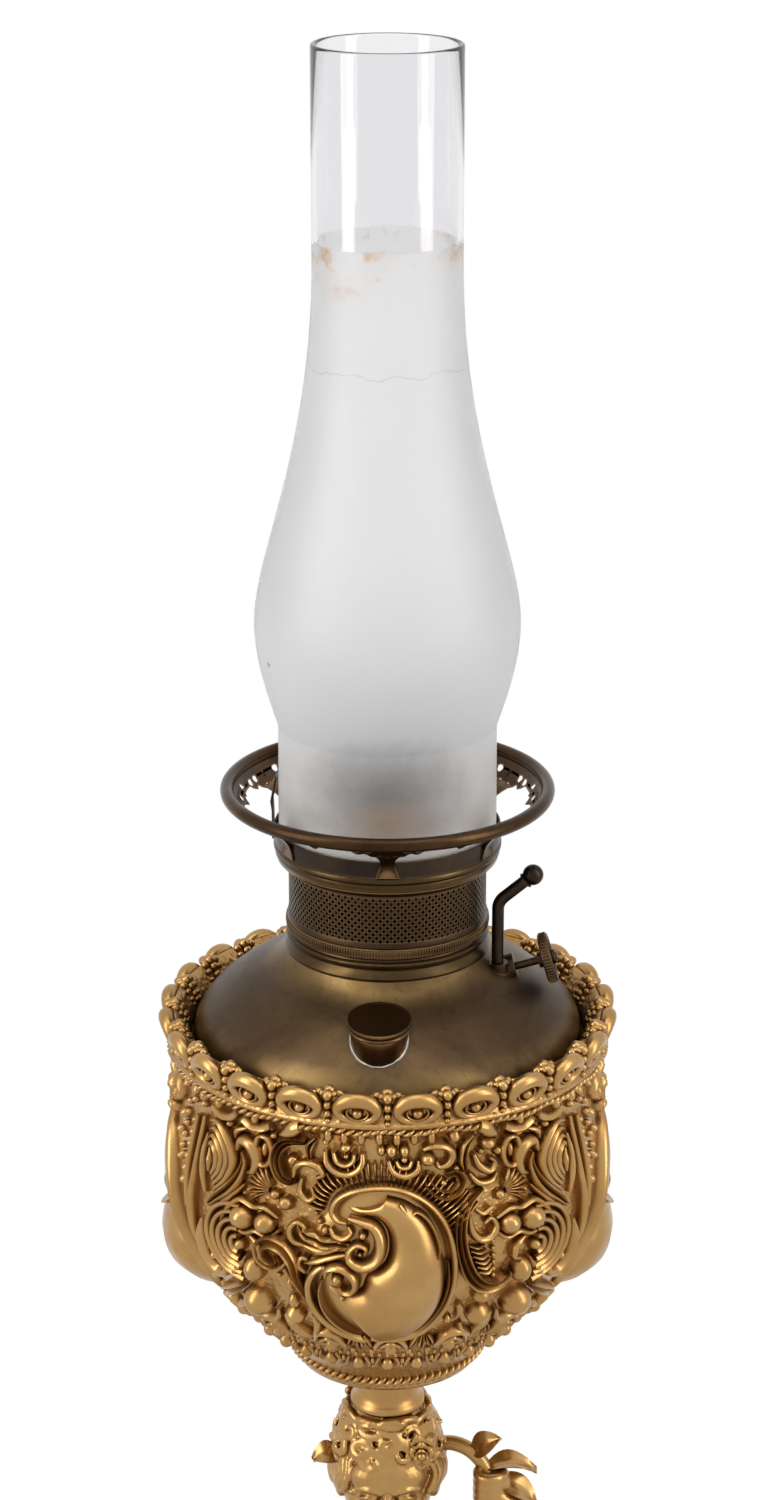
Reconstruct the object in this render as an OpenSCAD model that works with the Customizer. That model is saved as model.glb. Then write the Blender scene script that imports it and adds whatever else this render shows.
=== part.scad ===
// Banquet lamp: a footed base, a standing child figure, a relief bowl with a
// scalloped crown, and a drop-in oil font with a centre-draught burner.
// The axis of the lamp is Z, the floor is z = 0 and the front faces -Y.

/* [Base] */
// Height from the floor to the soles of the figure
base_h = 75; // [65:1:90]
// Reach of a foot from the lamp's axis
foot_reach = 88; // [84:1:92]
// Height of the base casting's rim above the floor
foot_h = 14; // [12:1:18]
// Width of a foot
foot_w = 18; // [14:1:22]
// Radius of the base at its lower moulding
base_r = 66; // [62:1:68]
// Radius of the base's top plate
base_top_r = 33; // [32:1:38]
// Thickness of the base casting
base_wall = 3; // [2.5:0.5:4]

/* [Figure] */
// Height of the figure from its soles to its crown
figure_h = 215; // [205:1:225]
// Thickness of the ground that the figure stands on
ground_h = 7; // [6:1:9]

/* [Bowl] */
// Height of the neck between the crown of the figure and the bowl
neck_h = 20; // [18:1:26]
// Radius of the neck's waist
neck_r = 10.6; // [9.5:0.1:11.4]
// Radius of the bowl's belly
bowl_r = 67.5; // [67:0.5:70]
// Height of the bowl from its underside to the seam under the crown
bowl_h = 110; // [108:1:120]
// Radius of the rope moulding round the bowl's foot
bowl_foot_r = 30.5; // [28:0.5:33]
// Radius of the cove under the crown
bowl_cove_r = 64.5; // [64.5:0.1:66]
// Wall of the bowl
bowl_wall = 2.2; // [2:0.1:2.4]
// Radius of the crown's crest
crown_r = 70.4; // [70:0.1:72]
// Height of the crown above the seam
crown_h = 12; // [11.5:0.5:14]
// Number of scallops round the crown
scallops = 24; // [20:1:25]

/* [Font] */
// Radius of the font's shoulder at its edge
font_r = 60.3; // [60:0.1:60.6]
// Depth of the font below its flange
font_depth = 82; // [74:1:84]
// Height of the shoulder from the flange to the burner
shoulder_h = 36; // [34:0.5:38]
// Sheet thickness of the font
font_wall = 1; // [0.8:0.1:1.2]
// Radius of the filler neck
filler_r = 8.5; // [8:0.1:9]
// Radius of the filler cap
cap_r = 9.8; // [9.4:0.1:10.2]
// Outward tilt of the filler
filler_tilt = 9; // [6:1:11]

/* [Burner] */
// Radius of the pierced band
band_r = 30.4; // [30:0.1:30.8]
// Height of the pierced band
band_h = 15; // [14:0.5:17]
// Number of holes in each row of the band
band_holes = 28; // [20:1:30]
// Number of rows of holes
band_rows = 4; // [3:1:4]
// Radius of a hole in the band
band_hole_r = 1.25; // [0.9:0.05:1.4]
// Height of the grooved collar under the band
collar_h = 9; // [8:0.5:10]
// Radius of the gallery's lip
lip_r = 34.85; // [34.7:0.05:35.2]
// Bore of the central draught tube
draft_bore = 10; // [9.5:0.1:10.2]
// Height of the wick tubes above the burner's deck
tube_rise = 38; // [36:1:42]

/* [Wick] */
// Thickness of the woven wick
wick_t = 2.8; // [2.4:0.1:3]
// How far the knob can lower the wick
wick_down = 10; // [6:1:12]
// How far the knob can raise the wick
wick_up = 8; // [4:1:8]
// Radius of the toothed rod
rod_r = 1.85; // [1.8:0.05:1.9]
// Radius of the ball at the top of the rod
ball_r = 3.15; // [2.8:0.05:3.6]
// Upward tilt of the knob's shaft
shaft_tilt = 16; // [14:1:18]
// Radius of the knob
knob_r = 8; // [6.5:0.1:8.2]
// Teeth on the pinion
pinion_teeth = 12; // [12:1:12]

/* [Shade ring] */
// Radius of the ring's rolled edge
ring_r = 48.9; // [48:0.1:50]
// Radius of the roll itself
roll_r = 2.1; // [1.8:0.1:2.3]
// Number of arms that carry the ring
ring_arms = 6; // [6:1:6]
// Height of the roll above the gallery's lip
ring_rise = 16.2; // [15:0.2:18]

/* [Chimney] */
// Height of the glass
chimney_h = 246; // [230:1:260]
// Radius of the glass at its seat
chimney_base_r = 33.3; // [33:0.1:33.4]
// Radius of the glass at its bulge
chimney_bulge_r = 40; // [38:0.5:42]
// Radius of the glass at its top
chimney_top_r = 22; // [20:0.5:24]
// Thickness of the glass
glass_t = 1.6; // [1.4:0.1:1.8]

/* [Hidden] */
$fn = 96;

gilt = [0.72, 0.55, 0.25];
brass = [0.55, 0.42, 0.24];
dark = [0.24, 0.2, 0.16];
glass = [0.92, 0.93, 0.92, 0.6];
cotton = [0.86, 0.82, 0.72];
cork = [0.5, 0.36, 0.22];

slip = 0.05;          // gap between pieces that are soldered or screwed together
run_gap = 0.08;       // radial gap of a sliding or turning fit
clear = 0.3;          // gap between pieces that only pass each other

// Heights up the stack
crown_z = base_h + figure_h;
bowl_z = crown_z + neck_h;
seam_z = bowl_z + bowl_h;
ledge_z = seam_z - 3;
shoulder_z = ledge_z + font_wall;
deck_z = ledge_z + shoulder_h;
band_z = deck_z + collar_h;
flange_z = band_z + band_h;
seat_z = flange_z + 4;
lip_z = seat_z + 5.5;
ring_z = lip_z + ring_rise;
tube_z = deck_z + tube_rise;

// Screws and bolts
bolt_r = 4;
screw_r = 1.6;
screw_head_r = 3.2;
screw_circle_r = 57.5;

// Figure at its nominal height, in its own frame
figure_nominal = 215;
neck_split = 166;
shoulder_split = 24;

// Bowl
bowl_floor = 6;
belly_z = 67;
cove_z = bowl_h - 7;
seam_r = 68;
crown_in_r = font_r + 1;
ledge_in_r = font_r - 2.3;
medallion_z = 63;
tassel_z = 31;
halves = 2;
tassels = 18;
vent_r = 4;
vent_circle_r = 19;

// Font and burner
pan_r = font_r - 3;
collar_r = 31;
tube_wall = 1;
wick_gap = 0.4;
draft_r = draft_bore + tube_wall;
wick_in = draft_r + wick_gap;
wick_out = wick_in + wick_t;
tube_in = wick_out + wick_gap;
tube_out = tube_in + tube_wall;
tube_foot_z = ledge_z + 8;
wick_top = tube_z + 1.5;
carrier_h = 10;
carrier_z = tube_foot_z - wick_up - carrier_h - 3;
arm_t = 4;

// Filler
filler_x = -2.5;
filler_y = -48;
cap_top_z = deck_z - 5.9;
cap_t = 3;
gasket_t = 0.8;
plug_depth = 5;
filler_bore = filler_r - 2;
neck_len = 16;

// Rack, pinion and knob
rod_x = 33.8;
rod_y = -10;
shaft_y = -5.6;
pinion_z = deck_z - 8.7;
pitch_r = 3;
tip_r = 3.45;
root_r = 2.35;
shaft_r = 1.25;
pinion_w = 2;
knob_run = 14.8;
knob_t = 3;
tooth_step = 2 * PI * pitch_r / pinion_teeth;
slot_h = 1.12;
slot_floor = 0.85;
barrel_r = 4.6;
bend_z = deck_z + 13.9;
bend_r = 5;
bend_turn = 50;
bend_lap = 0.3;
bend_swell = 0.02;
tail_run = 11.4;

// Shade ring
foot_ring_r = chimney_base_r + 0.6;
foot_ring_h = 5;
sheet = 0.9;
apron_drop = 8.5;
apron_in = 3.4;
arm_deg = 11.5;
lobe_r = 8;
pierce_r = 1.3;

// Glass
bulge_z = 75;
waist_z = 43;
straight_z = 184;

// Point on a cubic curve, and a list of n + 1 of them
function bezier_at(p, t) =
    pow(1 - t, 3) * p[0] + 3 * t * pow(1 - t, 2) * p[1] + 3 * t * t * (1 - t) * p[2] + pow(t, 3) * p[3];
function bezier(p, n = 8) = [for (i = [0:n]) bezier_at(p, i / n)];
// The list without its first point, and the list backwards
function tail(p) = [for (i = [1:len(p) - 1]) p[i]];
function backwards(p) = [for (i = [len(p) - 1:-1:0]) p[i]];
// A path moved sideways by d, to the left of its direction
function beside(p, d) = [
    for (i = [0:len(p) - 1])
        let (a = p[max(i - 1, 0)], b = p[min(i + 1, len(p) - 1)], s = (b - a) / norm(b - a))
        p[i] + d * [-s[1], s[0]]
];
// Places that repeat round the axis
module around(n, start = 0) {
    for (i = [0:n - 1]) rotate(start + i * 360 / n) children();
}
// A tube between two heights
module pipe(r, bore, z0, z1) {
    translate([0, 0, z0]) difference() {
        cylinder(r = r, h = z1 - z0);
        translate([0, 0, -1]) cylinder(r = bore, h = z1 - z0 + 2);
    }
}
// Children turned so that their Z axis points from p to q
module aimed(p, q) {
    v = q - p;
    translate(p) rotate([0, acos(v[2] / norm(v)), atan2(v[1], v[0])]) children();
}
// A round limb from p to q whose girth runs through the list of radii
module limb(p, q, girth) {
    run = norm(q - p);
    steps = len(girth) - 1;
    cap = [for (a = [-75:25:-25]) [girth[0] * cos(a), girth[0] * sin(a)]];
    body = [for (i = [0:steps]) [girth[i], run * i / steps]];
    end = [for (a = [25:25:75]) [girth[steps] * cos(a), run + girth[steps] * sin(a)]];
    aimed(p, q) rotate_extrude($fn = 48)
        polygon(concat([[0, -girth[0]]], cap, body, end, [[0, run + girth[steps]]]));
}
// Radius of a turned wall at a height, read off its outline, and how far it leans out there
function radius_at(line, z) = lookup(z, [for (p = line) [p[1], p[0]]]);
function lean_at(line, z) = atan2(radius_at(line, z + 3) - radius_at(line, z - 3), 6);
// Cast relief on such a wall: a point, a knop, a rolled scroll and a leaf, sunk into it or raised (below 0)
function on_wall(line, turn, z, sunk = 0) = [
    (radius_at(line, z) - sunk) * cos(turn), (radius_at(line, z) - sunk) * sin(turn), z
];
module knop(line, turn, z, r, sunk = 0) { translate(on_wall(line, turn, z, sunk)) sphere(r = r, $fn = 48); }
module curl(line, turn, z, r, roll, sunk = 0) {
    translate(on_wall(line, turn, z, sunk)) rotate([0, 90 + lean_at(line, z), turn])
        rotate_extrude($fn = 48) translate([r, 0]) circle(r = roll, $fn = 24);
}
module frond(line, from, to, r, sunk = 0) {
    p = on_wall(line, from[0], from[1], sunk);
    q = on_wall(line, to[0], to[1], sunk);
    run = norm(q - p);
    bow = (run * run / 4 + r * r) / (2 * r);
    aimed(p, q) rotate_extrude($fn = 48) intersection() {
        translate([r - bow, run / 2]) circle(r = bow);
        square([r, run]);
    }
}
// Everything below, or above, a level
module below(z) { translate([-200, -200, z - 600]) cube([400, 400, 600]); }
module above(z) { translate([-200, -200, z]) cube([400, 400, 600]); }

// Swept flank of the base, and the relief on it: a leaf over each foot, scrolls beside it and a shell between
function base_flank() = let (top = base_h - ground_h) bezier([[base_r - 3, foot_h + 8],
    [base_r - 6, foot_h + 24], [base_top_r + 4, top - 36], [base_top_r, top - 8]]);
module base_relief() {
    line = base_flank();
    foot = foot_h + 11;
    around(4, 45) {
        frond(line, [0, foot - 2], [0, foot + 30], 7, 3);
        for (way = [-1, 1]) {
            frond(line, [way * 4, foot], [way * 13, foot + 20], 4.6, 1.5);
            curl(line, way * 22, foot + 7, 5, 1.8);
        }
    }
    around(4) for (i = [-2:2]) frond(line, [i * 3, foot], [i * 7.5, foot + 16 - i * i], 2.9, 0.2);
}
// Base casting, hollow beneath, with a boss for each foot's screw
module base_dome() {
    top = base_h - ground_h;
    outer = concat(
        [[base_r - 2, foot_h], [base_r, foot_h + 2], [base_r, foot_h + 6]],
        base_flank(),
        [[base_top_r + 3, top - 6], [base_top_r + 3, top - 2], [base_top_r + 1, top]]);
    inner = bezier([[base_r - base_wall - 3, foot_h], [base_r - base_wall - 7, foot_h + 22],
        [base_top_r + 4 - base_wall, top - 36], [base_top_r - base_wall - 2, top - base_wall - 1]]);
    color(gilt) difference() {
        union() {
            difference() {
                union() {
                    rotate_extrude() polygon(concat([[0, foot_h]], outer, [[0, top]]));
                    base_relief();
                }
                rotate_extrude() polygon(concat([[0, foot_h - 1], inner[0] - [0, 1]], inner,
                    [[0, top - base_wall - 1]]));
            }
            around(4, 45) translate([screw_circle_r, 0, foot_h]) cylinder(r = 5, h = 12);
        }
        around(4, 45) translate([screw_circle_r, 0, foot_h - 1]) cylinder(r = screw_r + slip, h = 9);
        translate([0, 0, top - base_wall - 2]) cylinder(r = bolt_r + slip, h = base_wall + 4);
    }
}

// Scroll foot in its own radial plane: a volute outside the rim and a tongue under it
module foot_outline() {
    volute_r = (foot_reach - base_r - 1.5) / 2;
    volute_x = foot_reach - volute_r;
    difference() {
        union() {
            translate([volute_x, volute_r - 0.5]) circle(r = volute_r);
            polygon([[volute_x - 2, 0], [volute_x - 2, foot_h], [screw_circle_r - 7, foot_h],
                [screw_circle_r - 9, foot_h - 4], [screw_circle_r + 3, foot_h - 8],
                [volute_x - volute_r, foot_h - 9], [volute_x - 5, 0]]);
        }
        translate([0, -50]) square([200, 50]);
    }
}
module base_feet() {
    volute_r = (foot_reach - base_r - 1.5) / 2;
    color(gilt) around(4, 45) difference() {
        union() {
            rotate([90, 0, 0]) translate([0, 0, -foot_w / 2]) linear_extrude(foot_w) foot_outline();
            for (side = [-1, 1]) translate([foot_reach - volute_r, side * foot_w / 2, volute_r - 0.5])
                rotate([90, 0, 0]) cylinder(r = volute_r * 0.5, h = 2, center = true);
        }
        translate([screw_circle_r, 0, -1]) cylinder(r = screw_r + slip, h = foot_h + 2);
        translate([screw_circle_r, 0, -1]) cylinder(r = screw_head_r + clear, h = foot_h - 3);
    }
}
module foot_screws() {
    color(brass) around(4, 45) translate([screw_circle_r, 0, 0]) {
        translate([0, 0, foot_h - 6]) cylinder(r = screw_head_r, h = 2);
        translate([0, 0, foot_h - 4.5]) cylinder(r = screw_r, h = 11);
    }
}
// Bolt that draws the figure's ground down on the base
module base_bolt() {
    top = base_h - ground_h;
    color(brass) {
        translate([0, 0, top - base_wall - 1 - 5]) cylinder(r = 7.5, h = 5, $fn = 6);
        translate([0, 0, top - base_wall - 2]) cylinder(r = bolt_r, h = base_wall + ground_h);
    }
}
module figure_ground() {
    z0 = base_h - ground_h;
    color(gilt) difference() {
        rotate_extrude() polygon([[0, z0], [base_top_r, z0], [base_top_r - 1, z0 + 3],
            [base_top_r - 4, base_h], [0, base_h]]);
        translate([0, 0, z0 - 1]) cylinder(r = bolt_r + slip, h = ground_h);
    }
}

// The figure at its real height
module figure_place() { translate([0, 0, base_h]) scale(figure_h / figure_nominal) children(); }
module leg(hip, knee, ankle, toe) {
    limb(hip, knee, [15, 16, 15, 13, 10.5]);
    limb(knee, ankle, [10, 11.5, 11, 8.5, 6.5]);
    limb(ankle - [0, -2, 5], toe, [6, 6.5, 7, 5]);
}
// Trunk, hips, legs and the stump behind them, with a sash round the hips
module figure_body() {
    color(gilt) figure_place() difference() {
        union() {
            limb([0, 1, 96], [0, -1, 146], [19, 22.5, 24, 23.5, 22, 22, 20]);
            limb([0, 0, 150], [0, -1, 175], [14, 10.5, 9.3, 9]);
            for (side = [-1, 1]) {
                limb([side * 12, 0, 147], [side * 26, 0, 149], [13, 11.5, 10]);
                translate([side * 9, 9, 94]) sphere(r = 14.5);
            }
            leg([-10, 0, 92], [-12, -6, 52], [-11, 1, 11], [-13, -17, 5]);
            leg([10, 0, 92], [13, -9, 53], [10, 0, 11], [14, -18, 5]);
            limb([1, 17, 0], [-1, 16, 80], [14, 11.5, 10, 9.5, 9]);
            translate([0, 1, 100]) rotate([8, 14, 0]) rotate_extrude() translate([21, 0]) circle(r = 5.5);
        }
        below(0);
        above(neck_split);
        for (side = [0, 180]) rotate(side) translate([shoulder_split, -100, -1]) cube([100, 200, 300]);
        translate([0, 0, -1]) cylinder(r = 3, h = 5);
    }
}
// Head with its curls, drilled for the stud that carries the bowl
module figure_head() {
    color(gilt) figure_place() difference() {
        union() {
            limb([0, 0, 160], [0, -1, 178], [9, 9, 10]);
            translate([0, 0, 192]) sphere(r = 17);
            translate([0, -4, 183]) sphere(r = 14.5);
            translate([0, -9, 175.5]) sphere(r = 8);
            for (side = [-1, 1]) translate([side * 6, -8, 179]) sphere(r = 8);
            for (row = [0:2], i = [0:6]) rotate(-150 + row * 12 + i * 40)
                translate([-(16.5 - row * 4), 0, 190 + row * 8]) sphere(r = 5.6);
            for (i = [0:3]) rotate(-54 + i * 36) translate([0, -14, 204]) sphere(r = 5);
            translate([0, 0, 196]) cylinder(r = 12.5, h = 25);
        }
        below(neck_split);
        above(figure_nominal);
        translate([0, 0, figure_nominal - 14])
            cylinder(r = (bolt_r + slip) * figure_nominal / figure_h, h = 20);
    }
}
// Arms, cut flat where they are soldered to the shoulders
module figure_left_arm() {
    color(gilt) figure_place() difference() {
        union() {
            limb([20, 0, 149], [45, -3, 166], [10.5, 11, 10.5, 9]);
            limb([45.5, -3, 165], [34, -6, 180], [7.4, 8.6, 6.4]);
            limb([34, -6.4, 181], [32.5, -5.6, 187], [5.2, 6.8, 5.2]);
        }
        translate([shoulder_split - 100, -100, 0]) cube([100, 200, 300]);
    }
}
module figure_right_arm() {
    color(gilt) figure_place() difference() {
        union() {
            limb([-20, 0, 149], [-39, 1, 124], [10.5, 11, 10.5, 8.8]);
            limb([-39.5, 1, 124], [-33, -17, 107], [7.2, 8.4, 6.2]);
            limb([-33, -18.4, 106], [-27, -24, 101], [5.2, 6.6, 5]);
        }
        translate([-shoulder_split, -100, 0]) cube([100, 200, 300]);
    }
}
// Flowering branch held in the raised hand
module leaf(length, width, t) {
    bow = (length * length / 4 + width * width / 4) / width;
    linear_extrude(t, center = true) intersection() {
        translate([length / 2, bow - width / 2]) circle(r = bow);
        translate([length / 2, width / 2 - bow]) circle(r = bow);
    }
}
module flower_branch() {
    stem = [[33, -4, 162], [33, -5, 184], [33, -2, 193], [25, 2, 199.5], [20, 5, 200]];
    color(gilt) figure_place() {
        for (i = [0:len(stem) - 2]) {
            aimed(stem[i], stem[i + 1]) cylinder(r = 1.7, h = norm(stem[i + 1] - stem[i]));
            translate(stem[i]) sphere(r = 2.3);
        }
        translate([33, -2, 193]) rotate([90, 10, 0]) leaf(17, 7, 2);
        translate([33, -4, 164]) rotate([80, -35, 20]) leaf(24, 10, 2);
        translate([33, -4, 164]) rotate([80, 50, -10]) leaf(20, 9, 2);
    }
}

// Turned collar between the head and the bowl, on a threaded stud
module neck_collar() {
    h = bowl_z - crown_z;
    color(gilt) translate([0, 0, crown_z]) rotate_extrude() polygon(concat(
        [[bolt_r + slip, 0], [neck_r + 1.4, 0], [neck_r + 1.4, 2.5]],
        bezier([[neck_r + 0.2, 4], [neck_r - 0.6, 7], [neck_r, 9], [neck_r, 12]], 5),
        [[neck_r + 0.6, h - 3], [neck_r + 3, h], [bolt_r + slip, h]]));
}
module neck_stud() {
    color(brass) translate([0, 0, crown_z - 13]) cylinder(r = bolt_r, h = 13 + neck_h + bowl_floor + 9);
}

// Outside of the bowl from the rope moulding to the seam, in the bowl's own heights
function bowl_outline() = concat(
    bezier([[bowl_foot_r, 5], [bowl_foot_r + 11.5, 19], [bowl_r, belly_z - 24], [bowl_r, belly_z]]),
    tail(bezier([[bowl_r, belly_z], [bowl_r, belly_z + 14], [bowl_cove_r, cove_z - 14],
        [bowl_cove_r, cove_z]], 5)),
    [[bowl_cove_r + 0.8, cove_z + 3.5], [seam_r, bowl_h]]);
// Front or back of the bowl: a crescent cushion in a rolled frame, with scrolls and knops on both hands
module bowl_half() {
    line = bowl_outline();
    z = medallion_z;
    top_curls = [[-26, -13.5, 5], [-11, -12, 4.2], [4, -12, 3.6], [15, -17, 4], [26, -13, 4]];
    knop(line, 0, z - 13, 16.5, 8);
    knop(line, -5.5, z + 8, 5.2, 1);
    frond(line, [10, z - 8], [-6, z + 24], 7.5, 1.5);
    curl(line, 0, z, 24, 3, 3.4);
    curl(line, -29, z + 3, 4.8, 2, -0.6);
    curl(line, 26, z + 14, 3.6, 1.7, -0.6);
    for (c = top_curls) curl(line, c[0], bowl_h + c[1], c[2], 1.8, -0.4);
    for (k = [[-28, -20, 4.8], [26.5, -19.5, 5.2]]) knop(line, k[0], z + k[1], k[2]);
    for (way = [-1, 1]) {
        curl(line, way * 44, z + 2, 8, 2.2);
        curl(line, way * 52.5, z - 13, 4.4, 1.9, -0.5);
        curl(line, way * 49, z + 27, 7, 2.2, -0.2);
        curl(line, way * 36, z + 33, 4, 1.8, -0.4);
        for (k = [[33, 17, 4.4], [38.6, -19, 6.4]]) knop(line, way * k[0], z + k[1], k[2]);
    }
}
// Side of the bowl: a full bulb under a smooth panel in a rolled frame, with a leaf and curls over it
module bowl_side() {
    line = bowl_outline();
    z = medallion_z;
    knop(line, 0, z - 21, 19, 8);
    knop(line, 0, z + 6, 21, 17.5);
    curl(line, 0, z + 6, 18, 2.4, 1.6);
    frond(line, [0, z + 28], [0, z + 42], 4.4, 0.4);
    for (way = [-1, 1]) curl(line, way * 13, bowl_h - 13, 4.4, 1.8, -0.4);
}
module bowl() {
    outline = bowl_outline();
    wall_line = beside([for (p = outline) if (p[1] > bowl_floor + 3 && p[1] < cove_z) p], bowl_wall);
    shelf = bowl_h - 3;
    color(gilt) translate([0, 0, bowl_z]) difference() {
        union() {
            rotate_extrude() polygon(concat([[0, 0], [bowl_foot_r - 2, 0]], outline, [[0, bowl_h]]));
            translate([0, 0, 4]) rotate_extrude() translate([bowl_foot_r, 0]) circle(r = 1.8);
            around(halves, -90) bowl_half();
            around(halves) bowl_side();
            around(tassels, 1) knop(outline, 0, tassel_z, 5, 1.4);
        }
        rotate_extrude() polygon(concat([[0, bowl_floor], [bowl_foot_r - 2, bowl_floor]], wall_line,
            [[ledge_in_r, shelf - 3], [ledge_in_r, shelf], [crown_in_r, shelf], [crown_in_r, bowl_h + 1],
            [0, bowl_h + 1]]));
        translate([0, 0, -1]) cylinder(r = bolt_r + slip, h = bowl_floor + 2);
        around(6) translate([vent_circle_r, 0, -1]) cylinder(r = vent_r, h = bowl_floor + 2);
    }
}
// Crown of oval scallops, each with a hollow eye and a bead
module scallop_outline(w, h) {
    for (side = [-1, 1]) translate([side * (w - h) / 2, 0]) circle(d = h, $fn = 48);
    square([w - h, h], center = true);
}
module bowl_crown() {
    pitch = 2 * PI * crown_r / scallops;
    eye_h = crown_h - 1;
    face_r = crown_r - 1.6;
    color(gilt) translate([0, 0, seam_z]) difference() {
        union() {
            rotate_extrude() polygon([[crown_in_r, 0], [seam_r, 0], [face_r, 2], [face_r, crown_h - 4],
                [face_r - 2.4, crown_h - 2], [crown_in_r, crown_h - 2]]);
            around(scallops, 180 / scallops) {
                translate([crown_in_r + 2, 0, crown_h - eye_h / 2]) rotate([90, 0, 90])
                    linear_extrude(crown_r - crown_in_r - 2) scallop_outline(pitch * 0.85, eye_h);
            }
        }
        around(scallops, 180 / scallops) translate([crown_r - 1.4, 0, crown_h - eye_h / 2])
            rotate([90, 0, 90]) linear_extrude(3) difference() {
                scallop_outline(pitch * 0.85 - 4, eye_h - 4);
                circle(r = 2);
            }
    }
}
module bowl_washer() { color(brass) pipe(11, bolt_r + slip, bowl_z + bowl_floor, bowl_z + bowl_floor + 1.5); }
module bowl_nut() {
    color(brass) translate([0, 0, bowl_z + bowl_floor + 1.5]) difference() {
        cylinder(r = 7.5, h = 6, $fn = 6);
        translate([0, 0, -1]) cylinder(r = bolt_r + slip, h = 8);
    }
}

// Pan of the font, with the flange that rests on the bowl's shelf
module font_pan() {
    floor_z = ledge_z - font_depth;
    side = concat(
        [[draft_r + slip, floor_z]],
        bezier([[draft_r + 4, floor_z], [38, floor_z], [48, floor_z + 14], [53, floor_z + 34]], 8),
        tail(bezier([[53, floor_z + 34], [pan_r - 1, floor_z + 46], [pan_r, floor_z + 50],
            [pan_r, floor_z + 62]], 5)),
        [[pan_r, ledge_z]]);
    color(brass) rotate_extrude() polygon(concat(side,
        [[font_r - 0.2, ledge_z], [font_r - 0.2, shoulder_z], [pan_r - font_wall, shoulder_z]],
        backwards(beside([for (i = [0:len(side) - 2]) side[i]], font_wall))));
}
// Outside of the shoulder, from its edge up to the burner's deck
function shoulder_outline() = concat(
    [[font_r, shoulder_z]],
    bezier([[font_r, shoulder_z + 6], [font_r - 0.4, shoulder_z + 13], [53, shoulder_z + 18.5],
        [45, shoulder_z + 24]], 8),
    tail(bezier([[45, shoulder_z + 24], [38, shoulder_z + 28.2], [33.5, shoulder_z + 28.6],
        [collar_r, deck_z]], 6)));
module filler_axis() {
    translate([filler_x, filler_y, cap_top_z]) rotate([filler_tilt, 0, 0]) children();
}
module shaft_axis() {
    translate([rod_x, shaft_y, pinion_z]) rotate([0, 90 - shaft_tilt, 0]) children();
}
module font_shoulder() {
    outline = shoulder_outline();
    color(brass) difference() {
        rotate_extrude() polygon(concat(outline, [[collar_r - 2, deck_z]],
            backwards(beside(outline, font_wall))));
        filler_axis() translate([0, 0, -cap_t - neck_len]) cylinder(r = filler_r + slip, h = neck_len);
        shaft_axis() translate([0, 0, -5.5 - slip]) cylinder(r = barrel_r + slip, h = 18);
        translate([rod_x, rod_y, deck_z - 30]) cylinder(r = rod_r + 1.3 + slip, h = 30);
    }
}
module filler_neck() {
    color(brass) filler_axis() translate([0, 0, -cap_t - neck_len]) difference() {
        cylinder(r = filler_r, h = neck_len - gasket_t);
        translate([0, 0, -1]) cylinder(r = filler_bore, h = neck_len + 2);
    }
}
module draft_tube() { color(brass) pipe(draft_r, draft_bore, ledge_z - font_depth - 1, tube_z); }
module outer_wick_tube() { color(brass) pipe(tube_out, tube_in, tube_foot_z, tube_z); }
// Deck and grooved wall that the gallery sits on
module burner_collar() {
    color(brass) rotate_extrude() polygon([
        [tube_out + slip, deck_z], [collar_r, deck_z], [collar_r, deck_z + 1.6],
        [collar_r - 0.8, deck_z + 2.2], [collar_r - 0.8, deck_z + 2.8], [collar_r - 0.2, deck_z + 3.4],
        [collar_r - 0.2, deck_z + 4.6], [collar_r - 1, deck_z + 5.2], [collar_r - 1, deck_z + 5.8],
        [collar_r - 0.4, deck_z + 6.2], [collar_r - 0.4, band_z], [band_r - 1.8, band_z],
        [band_r - 1.8, deck_z + 1.2], [tube_out + slip, deck_z + 1.2]]);
}
// Housing of the pinion, with the guide of the toothed rod beside it
module rack_housing() {
    color(brass) difference() {
        union() {
            shaft_axis() translate([0, 0, -5.5]) cylinder(r = barrel_r, h = 11.5);
            translate([rod_x, rod_y, pinion_z - 8]) cylinder(r = rod_r + 1.3, h = 13);
        }
        shaft_axis() translate([0, 0, -4]) cylinder(r = tip_r + 0.25, h = 8);
        shaft_axis() translate([0, 0, 2]) cylinder(r = shaft_r + run_gap, h = 8);
        translate([rod_x, rod_y, pinion_z - 20]) cylinder(r = rod_r + run_gap, h = 40);
    }
}
// Bare-topped cap with a lip bead and a plug, on a cork ring
module filler_cap() {
    color(brass) filler_axis() rotate_extrude() polygon([
        [0, -cap_t - plug_depth], [filler_bore - clear, -cap_t - plug_depth], [filler_bore - clear, -cap_t],
        [cap_r - 0.6, -cap_t], [cap_r, -cap_t + 0.8], [cap_r, -0.7], [cap_r - 0.5, 0], [cap_r - 1.2, 0],
        [cap_r - 1.7, -0.6], [0, -0.6]]);
}
module filler_gasket() {
    color(cork) filler_axis() translate([0, 0, -cap_t - gasket_t]) difference() {
        cylinder(r = filler_r - 0.2, h = gasket_t);
        translate([0, 0, -1]) cylinder(r = filler_bore - clear + slip, h = 3);
    }
}

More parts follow.
